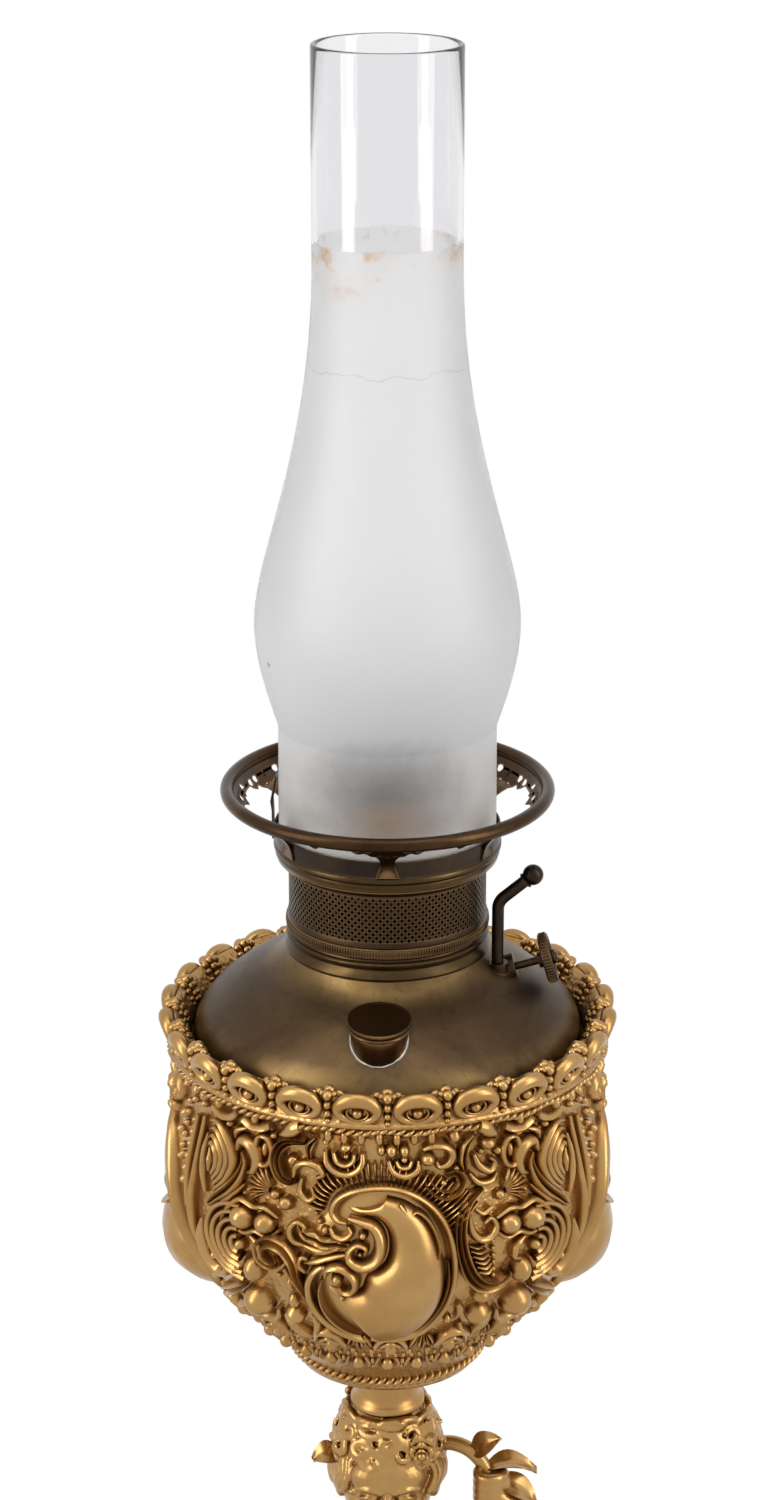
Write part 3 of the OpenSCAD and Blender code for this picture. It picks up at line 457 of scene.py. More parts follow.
base_girth, rim_girth, plate_r = 50.0, 66.0, 36.0
base_face = base_wall[5:-5]
over_foot = [
    blade([(0, 23, 9.5, 2.6), (0, 28, 11, 3.4), (0, 34, 9.5, 3.6), (0, 42, 7, 3.2), (0, 50, 4.2, 3),
           (0, 56, 1.2, 1.6)], "leaf", 0.2, lobes=5),
    bead(0, 58, 1.9, 2.0)]
for way in (-1, 1):
    over_foot += [
        scroll((way * 18, 31), 90 - way * 20, (13, 12), (way * 330, -way * 300), (2.3, 1.0), (3.2, 1.8),
               "rimmed"),
        blade([(way * 8, 25, 2.5, 2), (way * 14, 26.5, 3.2, 2.6), (way * 20, 25, 2.6, 2),
               (way * 25, 23.4, 0.6, 1)], "leaf", 0.2, lobes=4),
        blade([(way * 9, 40, 1.4, 1.6), (way * 14, 43, 2.2, 2), (way * 18, 48, 2, 1.8),
               (way * 18, 54, 0.5, 1)], "leaf", 0.2, lobes=3),
        bead(way * 26, 30, 1.8, 2), bead(way * 26, 35.5, 1.4, 1.6), bead(way * 26, 40, 1.1, 1.3)]
shell_across, shell_up = 39.2, 27
for k in range(-4, 5):
    lean = 0.16 * k
    rib = [(shell_across + 2.0 * math.sin(lean), shell_up + 2.0 * math.cos(lean), 0.5, 1.2),
           (shell_across + 7.5 * math.sin(2 * lean), shell_up + 9 * math.cos(2 * lean), 1.3, 2.6),
           (shell_across + 11.5 * math.sin(2.4 * lean), shell_up + 14 * math.cos(2.4 * lean), 1.5, 2.0)]
    over_foot.append(blade(rib, "round", 0.4, steps=4))
over_foot.append(bead(shell_across, 26.6, 2.6, 3.2))
base_relief = repeated("base_relief", [wrapped(part, base_face, base_girth) for part in over_foot], gilt,
                       foot_count, foot_turn)
fixed(base_relief, gilt, "stand")
rim_count, plate_count = 84, 64
rim_bead = wrapped(bead(0, 18, 1.9, 1.6, tall=2.2, around=10, rings=3), base_wall[2:5], rim_girth)
base_beads = repeated("base_beads", [rim_bead], gilt, rim_count)
fixed(base_beads, gilt, "stand")
plate_bead = wrapped(bead(0, 64.1, 1.3, 1.2, around=10, rings=3), [(plate_r, 62), (plate_r, 66.5)], plate_r)
plate_beads = repeated("plate_beads", [plate_bead], gilt, plate_count)
fixed(plate_beads, gilt, "stand")

# Screws and bolts: turned steel, out of sight under the base, in the bowl and
# in the neck, where they hold the castings together.
steel, tree, skin, place = new_finish("steel")
rust = noise(tree, place, 260.0, 4.0)
plugged(tree, skin, {
    "Base Color": ramp(tree, rust, [(0.4, (0.36, 0.35, 0.33)), (0.7, (0.2, 0.14, 0.1))]),
    "Metallic": 1.0, "Roughness": between(tree, rust, 0.3, 0.6, 0.4, 0.7)})


def surfaced(material, *names):
    """Gives CAD pieces that are seen as they are their material."""
    for name in names:
        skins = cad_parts[name].data.materials
        skins.clear()
        skins.append(material)


surfaced(steel, "foot_screws", "base_bolt", "neck_stud", "bowl_washer", "bowl_nut")

# Ground of the figure: a cast mound like turf and rock, bolted on the base's
# plate, its tufts pressed together in the wax before it was cast.
rng = np.random.default_rng(7)


def ball(middle, radii, rings=14, around=20):
    """An egg of three radii about its middle."""
    radii = np.broadcast_to(np.array(radii, float), 3)
    verts = [[0, 0, -1]]
    for i in range(1, rings):
        a = -0.5 * math.pi + math.pi * i / rings
        for j in range(around):
            b = 2 * math.pi * j / around
            verts.append([math.cos(a) * math.cos(b), math.cos(a) * math.sin(b), math.sin(a)])
    verts.append([0, 0, 1])
    top = len(verts) - 1
    faces = [(0, 1 + (j + 1) % around, 1 + j) for j in range(around)]
    for i in range(rings - 2):
        for j in range(around):
            k = (j + 1) % around
            faces.append((1 + i * around + j, 1 + i * around + k, 1 + (i + 1) * around + k,
                          1 + (i + 1) * around + j))
    last = 1 + (rings - 2) * around
    faces += [(last + j, last + (j + 1) % around, top) for j in range(around)]
    return np.array(verts) * radii + np.array(middle, float), faces


def fused(name, parts, voxel, soften):
    """Overlapping closed forms made into one skin, as wax is pressed together."""
    piece = solid(name, parts)
    weld = piece.modifiers.new("weld", "REMESH")
    weld.mode = "VOXEL"
    weld.voxel_size = voxel * MM
    calm = piece.modifiers.new("calm", "SMOOTH")
    calm.factor = 0.5
    calm.iterations = soften
    return settled(piece)


ground_parts = [turned([(0, 68.2), (32.6, 68.2), (32.2, 70), (30.6, 72), (28.5, 73.6), (0, 74.8)], 72)]
tufts, turf_r = 46, 31
for i in range(tufts):
    angle = rng.uniform(0, 2 * math.pi)
    far = turf_r * math.sqrt(rng.uniform(0.02, 0.86))
    size = rng.uniform(2.2, 5.0)
    ground_parts.append(ball((far * math.cos(angle), far * math.sin(angle), 72.6 - 0.06 * far),
                             (size, size, size * 0.62)))
ground = fused("turf_ground", ground_parts, 0.9, 3)
fixed(ground, gilt_stippled, "stand", ["figure_ground"], 60)


# Figure: a standing child in gilt spelter, cast in halves and soldered, that
# carries the bowl on its head. A stump behind the legs makes it stiff; one hand
# holds the branch and the other rests on the hip.
sole_z, trunk_depth = 75.0, 0.88


def limb(points, section=24):
    """A rounded bar through (x, y, z, girth) points, with round ends."""
    line = eased(points, 8)
    return [tube(line, section), ball(line[0, :3], line[0, 3]), ball(line[-1, :3], line[-1, 3])]


def standing(parts):
    """The parts set on the ground that the figure stands on."""
    return [(np.asarray(verts) + [0, 0, sole_z], faces) for verts, faces in parts]


def leg(hip, knee, ankle, toe):
    """Thigh, knee, calf and a bare foot with its toes."""
    hip, knee, ankle, toe = (np.array(p, float) for p in (hip, knee, ankle, toe))
    parts = limb([(*hip, 15.6), (*(0.6 * hip + 0.4 * knee), 15), (*(0.15 * hip + 0.85 * knee), 11.2),
                  (*knee, 10.3), (*(0.66 * knee + 0.34 * ankle + (0, 1.6, 0)), 11.2),
                  (*(0.25 * knee + 0.75 * ankle), 7.8), (*ankle, 6.4)])
    parts.append(ball(knee + (0, -5.6, 1), (6.0, 5.6, 6.4)))
    parts += limb([(*(ankle + (0, 3, -5.6)), 5.2), (*(ankle + (0, -4, -4.4)), 6.2),
                   (*(0.4 * ankle + 0.6 * toe - (0, 0, 2.2)), 5.0), (*(toe - (0, 0, 1.4)), 3.7)])
    parts.append(ball(toe + (0, 2.6, -1.2), (6.8, 6.2, 3.8)))
    outward = math.copysign(1, hip[0])
    for across, front, size in ((-4.7, -3.6, 2.4), (-1.5, -4.2, 1.8), (1.0, -3.5, 1.7), (3.2, -2.4, 1.55),
                                (5.2, -0.8, 1.35)):
        parts.append(ball((toe[0] + outward * across, toe[1] + front, size + 0.3), (size, size * 1.8, size)))
    return parts


trunk_line = [(0, 1, 96, 19.5), (0, 0.5, 106, 22), (0, 0, 116, 22.6), (0, -0.5, 128, 21.6),
              (0, -1, 140, 21.2), (0, -1, 147, 18), (0, -0.5, 154, 11.5), (0, -0.5, 160, 8)]
trunk = [tube(eased(trunk_line, 8), 36),
         ball((0, 1, 96), (19.5, 19, 14)), ball((0, -1, 145), (21, 18, 11.5)),
         ball((0, -8.4, 112.5), (17.5, 16.2, 14)), ball((0, -24.4, 110.6), (1.7, 0.9, 1.7))]
for side in (-1, 1):
    trunk += [ball((side * 10, -19.0, 139.2), (1.0, 0.9, 1.0)), ball((side * 9, 10.6, 141), (9.4, 8.6, 12)),
              ball((side * 8.6, 10, 94), (11.8, 13, 12.5)),
              ball((side * 22.5, 0, 148.5), (10.6, 11.6, 10.8))]
    trunk += limb([(side * 3, 2, 160.5, 6.6), (side * 11, 2, 155.4, 7.6), (side * 21, 1, 150.5, 9)])
trunk += limb([(0, 1, 150, 12.5), (0, 0, 157, 10.2), (0, -1, 168, 9.3)])
trunk = [(verts * [1, trunk_depth, 1], faces) for verts, faces in trunk]
trunk += leg((-10, 0, 92), (-12, -6, 52), (-11, 1, 11), (-13, -17, 5))
trunk += leg((10, 0, 92), (13, -9, 53), (10, 0, 11), (14, -18, 5))
trunk += limb([(1, 17, 0, 14), (0.5, 17, 20, 11.5), (0, 16.5, 45, 10), (-1, 16, 80, 9)])
bark_ridges = 22
for i in range(bark_ridges):
    angle = rng.uniform(0.1, math.pi - 0.1)
    up = rng.uniform(2, 78)
    trunk.append(ball((10.4 * math.cos(angle), 17 + 9.6 * math.sin(angle), up),
                      (2.2, 2.2, rng.uniform(4, 11))))
raised_arm = limb([(21, 0, 149, 11), (33, -1.5, 156.5, 10.6), (42.4, -2.8, 163.4, 9),
                   (45.4, -3.4, 168.6, 8.2), (42, -4.4, 174.6, 8.4), (37.4, -5.4, 179.4, 6.8),
                   (35.2, -5.6, 182.4, 5.6)])
raised_arm.append(ball((36.4, -3.8, 186), (4.6, 5.4, 6.4)))
for k in range(4):
    high = 181.8 + 2.95 * k
    raised_arm += limb([(33.5 + 4.4 * math.cos(a), -5.2 + 4.4 * math.sin(a), high, 1.95 - 0.1 * i)
                        for i, a in enumerate(np.radians((-5, -50, -100, -150, -195)))], 12)
raised_arm += limb([(36.2, -1.4, 187.6, 2.4), (32.6, -0.8, 190.4, 2.1), (30.0, -3.6, 191.2, 1.7)], 12)
resting_arm = limb([(-21, 0, 149, 11), (-30.5, 0.6, 139, 10.5), (-38, 1, 127.5, 8.8),
                    (-39.6, -0.5, 122, 8.2), (-37.2, -7.6, 115, 8.2), (-32.4, -14, 108, 6.4),
                    (-30, -16.4, 105.6, 5.4)])
resting_arm.append(ball((-27.4, -17.6, 103), (4.8, 4.4, 5.4)))
for k in range(4):
    high = 105.8 - 2.6 * k
    resting_arm += limb([(-26.4, -18.8, high, 2.1), (-22.4, -21.6, high - 0.6, 1.95),
                         (-18.4, -23.4, high - 1.6, 1.7), (-15, -24.2, high - 2.6, 1.4)], 12)
resting_arm += limb([(-27, -15.6, 106.4, 2.2), (-24.4, -17.4, 109, 1.9), (-21.4, -18.8, 110.4, 1.5)], 12)
child = fused("child_figure", standing(trunk + raised_arm + resting_arm), 0.85, 8)
fixed(child, gilt, "stand", ["figure_body", "figure_left_arm", "figure_right_arm"], 70)

# Sash: a rolled cloth cast with the figure, slung round the hips, with its
# pleated end falling behind the right leg.
sash, strands, pleats = [], 5, 7
for k in range(strands):
    line = []
    for i in range(97):
        a = 2 * math.pi * i / 96
        swing = 2 * math.pi * k / strands + 2 * a + 0.5 * math.sin(3 * a)
        far = 20.8 + (3.2 + 0.5 * math.sin(4 * a + k)) * math.cos(swing)
        high = 100 + 3.4 * math.sin(swing) - 4.9 * math.cos(a) - 2.6 * math.sin(a)
        line.append((far * math.cos(a), far * math.sin(a) * 0.92, high + sole_z, 2.5))
    sash.append(tube(line, 10))
for k in range(pleats):
    line = []
    for i in range(18):
        t = i / 17
        across = (k - pleats // 2) * (1.5 + 0.9 * t)
        sway = 3.2 * t * math.sin(2.6 * t + 0.8 * k)
        line.append((-23.6 + across - 1.5 * t, 4.5 + 1.7 * (-1) ** k + sway,
                     98 - (43 + 2.5 * (k % 3)) * t + sole_z, (2.3 - 0.4 * t) * (1 - t ** 6) + 0.8))
    sash.append(tube(line, 10))
sash_piece = fused("figure_sash", sash, 0.7, 2)
fixed(sash_piece, gilt, "stand", (), 60)

# Head: a calm child's face under loose wavy locks, cast solid round the stud
# that carries the neck of the bowl.
face = limb([(0, 0, 160, 9), (0, -0.5, 169, 9), (0, -1, 178, 10)])
face += [ball((0, 0, 192), (16.2, 16.6, 17), 20, 30), ball((0, -3.4, 183), (14.2, 13.6, 15), 20, 30),
         ball((0, -10.8, 172.4), (5.2, 5.2, 4.6)), ball((0, -13.2, 194.4), (12.2, 6.2, 7.6)),
         ball((0, -13.4, 178), (6.2, 3.5, 4.4)), ball((0, -20.2, 182.3), (2.1, 2.0, 1.9))]
face += limb([(0, -16.6, 190.6, 1.7), (0, -18.2, 187, 1.5), (0, -19.8, 183, 1.8)], 12)
face += limb([(-4.4, -16.2, 177.7, 0.4), (-1.5, -18.4, 178.7, 0.95), (0, -18.5, 178.2, 0.9),
              (1.5, -18.4, 178.7, 0.95), (4.4, -16.2, 177.7, 0.4)], 10)
face += limb([(-3.7, -16.2, 176.9, 0.4), (-1.4, -18.0, 176.1, 1.1), (1.4, -18.0, 176.1, 1.1),
              (3.7, -16.2, 176.9, 0.4)], 10)
for side in (-1, 1):
    face += [ball((side * 6.6, -9.2, 180.6), (6.4, 6.6, 7.0)), ball((side * 5.9, -13.9, 187), 3.1),
             ball((side * 2.0, -18.4, 181.5), (1.5, 1.7, 1.3)),
             ball((side * 15.2, -1.0, 184.5), (2.2, 3.6, 5.0))]
    face += limb([(side * 2.8, -15.6, 186.5, 0.5), (side * 4.4, -17.2, 188.2, 0.75),
                  (side * 7.0, -17.0, 188.5, 0.75), (side * 9.4, -14.6, 186.9, 0.5)], 8)
    face += limb([(side * 2.8, -15.6, 186.4, 0.4), (side * 5.6, -17.0, 185.1, 0.55),
                  (side * 9.2, -14.6, 186.6, 0.4)], 8)
    face += limb([(side * 2.2, -18.2, 190.6, 0.8), (side * 5.8, -18.6, 192.3, 1.0),
                  (side * 10.4, -15.6, 191.0, 0.7)], 8)

skull, skull_girth, skull_rise = np.array((0, 0.8, 193.0)), 16.6, 20.6


def over_skull(turn, rise, lift):
    """A point of the hair: turn from the face and rise from the brow, in degrees."""
    a, b = math.radians(turn), math.radians(rise)
    across = max((skull_girth + lift) * max(math.cos(b), 0.05) ** 0.6, 12.2 + lift)
    return skull + (math.sin(a) * across, -math.cos(a) * across, (skull_rise + lift) * math.sin(b))


def curl(turn, rise, size, spin, start):
    """A flat ringlet of two strands on the skull, wound inwards and lifted at its eye."""
    strands, narrow = [], max(0.55, math.cos(math.radians(rise)))
    for strand in (0.0, 1.0):
        line = []
        for t in np.linspace(0, 1, 22):
            swirl = start + spin * 8.0 * t
            wind = (size - 1.7 * strand) * (1 - t) ** 0.85 + 0.5
            up = rise + math.degrees(wind * math.sin(swirl) / skull_rise)
            side = turn + math.degrees(wind * math.cos(swirl) / skull_girth) / narrow
            line.append((*over_skull(side, up, 0.9 + 1.7 * t), (1.5 - 0.55 * t) * (1 - 0.15 * strand)))
        strands.append(tube(line, 8))
    return strands


def lock(turn, top, foot, swing, hook):
    """A wavy lock of four strands that hangs beside the face and down the nape."""
    strands = []
    for strand in (-1.5, -0.5, 0.5, 1.5):
        line = []
        for t in np.linspace(0, 1, 22):
            end = max(0.0, (t - 0.6) / 0.4)
            side = turn + swing * math.sin(5.4 * t) + hook * end * end + strand * 8.0 * (1 - 0.6 * t)
            place = over_skull(side, top + (foot - top) * t + 15 * end * end,
                               1.0 + 1.6 * math.sin(math.pi * t) - 0.6 * abs(strand))
            line.append((*place, 1.2 * (0.42 + 0.58 * math.sin(math.pi * (0.12 + 0.8 * t)))))
        strands.append(tube(line, 8))
    return strands


hair = [ball(skull + (0, 1.2, 2), (15.8, 15.8, 15), 20, 30),
        turned([(0, 199)] + [tuple(over_skull(90, rise, -0.2)[[0, 2]]) for rise in range(16, 57, 5)]
               + [(11.4, 214.8), (0, 214.8)], 60)]
locks, ringlets, golden_turn = 9, 92, 137.508
for i in range(locks):
    hair += lock(60 + 30 * i, 16, -30 - 6 * (i % 2), rng.uniform(6, 10) * (-1) ** i, 22 * (-1) ** i)
for i in range(ringlets):
    rise = math.degrees(math.asin(1 - 2 * (i + 0.5) / ringlets))
    turn = (i * golden_turn) % 360 - 180
    if (15 if abs(turn) < 58 else -4) < rise < 68:
        hair += curl(turn + rng.uniform(-4, 4), rise + rng.uniform(-2, 2), rng.uniform(3.8, 5.0), (-1) ** i,
                     rng.uniform(0, 6.28))
head = fused("figure_head_cast", standing(face + hair), 0.45, 2)
fixed(head, gilt, "stand", ["figure_head"], 70)

# Flowering branch: a bent rod with cast leaves, held in the raised hand and
# soldered to the hair, with a rosette where it meets the curls.
branch_line = [(33, -4, 237, 2.0), (33.4, -5.4, 249, 2.2), (33.6, -5, 259, 2.3), (32, -2.6, 266, 2.4),
               (27, 0, 271, 2.5), (20.5, 2, 272.5, 2.5), (15, 2, 271, 2.4)]
branch = [tube(eased(branch_line, 6), 12)]


def petal(start, tip, width, bow, thick, fold):
    """A cupped leaf from start to tip, closed all round."""
    start, tip, bow = (np.array(p, float) for p in (start, tip, bow))
    run = tip - start
    side = np.cross(run, bow)
    side /= np.linalg.norm(side)
    rows, cols = 12, 7
    skins = []
    for skin_side in (1, -1):
        grid = np.zeros((rows, cols, 3))
        for i in range(rows):
            t = i / (rows - 1)
            wide = width * (math.sin(math.pi * min(1.0, t ** 0.8)) ** 0.75 * 0.96 + 0.04)
            middle = start + run * t + bow * math.sin(math.pi * t) * (1 - 0.3 * t)
            for j in range(cols):
                s = 2 * j / (cols - 1) - 1
                cup = fold * s * s - 0.35 * thick * (1 - abs(s))
                cup += skin_side * 0.5 * thick * (1 - s * s) ** 0.5
                grid[i, j] = middle + side * wide * s + bow / np.linalg.norm(bow) * cup
        skins.append(grid.reshape(-1, 3))
    verts = np.concatenate(skins)
    half = rows * cols
    faces = []
    for i in range(rows - 1):
        for j in range(cols - 1):
            a, b = i * cols + j, i * cols + j + 1
            faces.append((a, b, b + cols, a + cols))
            faces.append((half + a, half + a + cols, half + b + cols, half + b))
    rim = [i * cols for i in range(rows)] + [(rows - 1) * cols + j for j in range(1, cols)]
    rim += [i * cols + cols - 1 for i in range(rows - 2, -1, -1)] + [j for j in range(cols - 2, 0, -1)]
    for a, b in zip(rim, rim[1:] + rim[:1]):
        faces.append((a, b, half + b, half + a))
    return verts, faces


for start, tip, width, bow in (
        ((32, -3, 265), (49, -2, 264.5), 4.2, (0, -1, 4.6)),
        ((33, -4, 262), (48, -5, 254), 5.0, (2.5, -1.5, 2.6)),
        ((33, -4, 240), (46, -10, 254), 5.6, (3, -3, -1)),
        ((28, 0, 270), (37, -6, 279), 4.2, (-1, -2, 1.8)),
        ((-14, -2, 269), (-24.5, -3, 269), 4.6, (-1, -1.5, 3.2))):
    branch.append(petal(start, tip, width, bow, 1.9, 1.5))
rosette = np.array((11.0, -13.6, 279.0))
for ring, (count, far, high) in enumerate(((7, 6.2, 0.4), (6, 4.2, 1.8), (4, 2.2, 2.8))):
    for i in range(count):
        angle = 2 * math.pi * (i + 0.5 * ring) / count
        way = np.array((math.cos(angle), 0.15, math.sin(angle)))
        root, tip = rosette - (0, 0.6 * high, 0), rosette + way * far - (0, high, 0)
        branch.append(petal(root, tip, 2.7 - 0.5 * ring, way * 0.4 - np.array((0, 1.6, 0)), 1.0, 0.6))
branch.append(ball(rosette - (0, 3.6, 0), 1.5, 8, 12))
branch_piece = solid("flower_spray", branch)
fixed(branch_piece, gilt, "stand", ["flower_branch"], 55)

# Neck: a turned gilt collar of spelter that slips over the stud, with a waist
# between two beads and a cup under the bowl.
neck_line = np.concatenate([
    [(4.1, 290.1), (11.4, 290.1), (12, 290.6), (12, 292), (11.3, 292.8)],
    bezier((10.7, 293.6), (9.9, 297), (10.5, 299), (10.7, 302), 8),
    [(10.9, 303.2), (11.8, 304), (11.9, 304.8), (11.2, 305.4), (11.4, 307), (13.4, 309.9), (4.1, 309.9)]])
fixed(solid("neck_cup", [turned(neck_line, 96)]), gilt, "stand", ["neck_collar"], 45)


# Bowl: a deep spelter casting that holds the font. Its wall is stippled
# between the reliefs, with a rope moulding round its foot.
def beside(line, gap):
    """The line moved sideways by gap, to the left of its direction."""
    line = np.array(line, float)
    run = np.gradient(line, axis=0)
    run /= np.linalg.norm(run, axis=1)[:, None]
    return line + gap * np.stack([-run[:, 1], run[:, 0]], axis=1)


bowl_z = 310.0
bowl_wall = np.concatenate([
    bezier((30.5, 5), (42, 19), (67.5, 43), (67.5, 67), 40),
    bezier((67.5, 67), (67.5, 81), (64.5, 89), (64.5, 103), 24)[1:],
    [(64.7, 105), (65.3, 106.6), (66.4, 108.2), (67.6, 109.4), (68, 110)]]) + [0, bowl_z]
bowl_inside = beside(bowl_wall[6:62], 2.2)
bowl_line = np.concatenate([
    [(0, 310), (28.5, 310), (29.4, 310.6), (30, 312)], bowl_wall,
    [(61.3, 420), (61.3, 417), (58, 417), (58, 413)], bowl_inside[::-1], [(30, 318), (26, 316), (0, 316)]])
fixed(solid("bowl_casting", [turned(bowl_line, 192)]), gilt_stippled, "stand", ["bowl"], 45)
strand = [(0, -1.5, 1.2, 0.2), (0.9, -0.7, 1.3, 1.6), (1.9, 0.2, 1.3, 1.9), (2.8, 1.0, 1.3, 1.5),
          (3.6, 1.7, 1.1, 0.2)]
rope_r, rope_z, rope_count = 30.2, 314.4, 74
rope_wall = [(rope_r, 311), (rope_r, 318.5)]
rope = [wrapped(blade([(u, v + rope_z, w * 0.75, h) for u, v, w, h in strand], "round", 0.2, steps=3),
                rope_wall, rope_r)]
fixed(repeated("bowl_rope", rope, gilt, rope_count), gilt, "stand")

# Relief of the bowl: one pattern cast twice, on the front and on the back. A
# framed crescent with a shell fringe stands in the middle of each half.
per_degree = 1.152
bowl_girth = 66.0


def relief(points, shape="round", lift=0.0, steps=5, lobes=0):
    """A band of relief through (degrees from the front, height, half width, lift) points."""
    return blade([(p[0] * per_degree, *p[1:]) for p in points], shape, lift, steps, lobes)


def pearl(degrees, up, radius, height, tall=None, lift=0.0):
    """A bead at degrees from the front."""
    return bead(degrees * per_degree, up, radius, height, tall, lift)


def pillow(edges, lift):
    """A smooth cushion between two edges of (degrees, height), inner and outer, with its lift last."""
    steps, columns = 4, 17
    line = eased([(a * per_degree, b, c * per_degree, d, e) for a, b, c, d, e in edges], steps)
    inner, outer, tall = line[:, None, 0:2], line[:, None, 2:4], line[:, None, 4:5]
    x = -np.cos(np.linspace(0, math.pi, columns))[None, :, None]
    flat = inner + (outer - inner) * (0.5 + 0.5 * x)
    skin = np.concatenate([flat, lift + tall * np.maximum(1 - x * x, 0) ** 0.6], axis=2)
    low = np.concatenate([skin[:, -1:], skin[:, :1]], axis=1).copy()
    low[:, :, 2] = -relief_root
    verts = np.concatenate([skin, low], axis=1)
    rows, wide = verts.shape[:2]
    faces = [(i * wide + j, i * wide + (j + 1) % wide, (i + 1) * wide + (j + 1) % wide, (i + 1) * wide + j)
             for i in range(rows - 1) for j in range(wide)]
    faces += [tuple(range(wide)), tuple((rows - 1) * wide + j for j in range(wide - 1, -1, -1))]
    return verts.reshape(-1, 3), faces


def on_bowl(name, parts):
    """The parts wrapped on the bowl's wall, on the front and on the back."""
    piece = repeated(name, [wrapped(part, bowl_wall, bowl_girth, -90) for part in parts], gilt, 2)
    fixed(piece, gilt, "stand", (), 50)


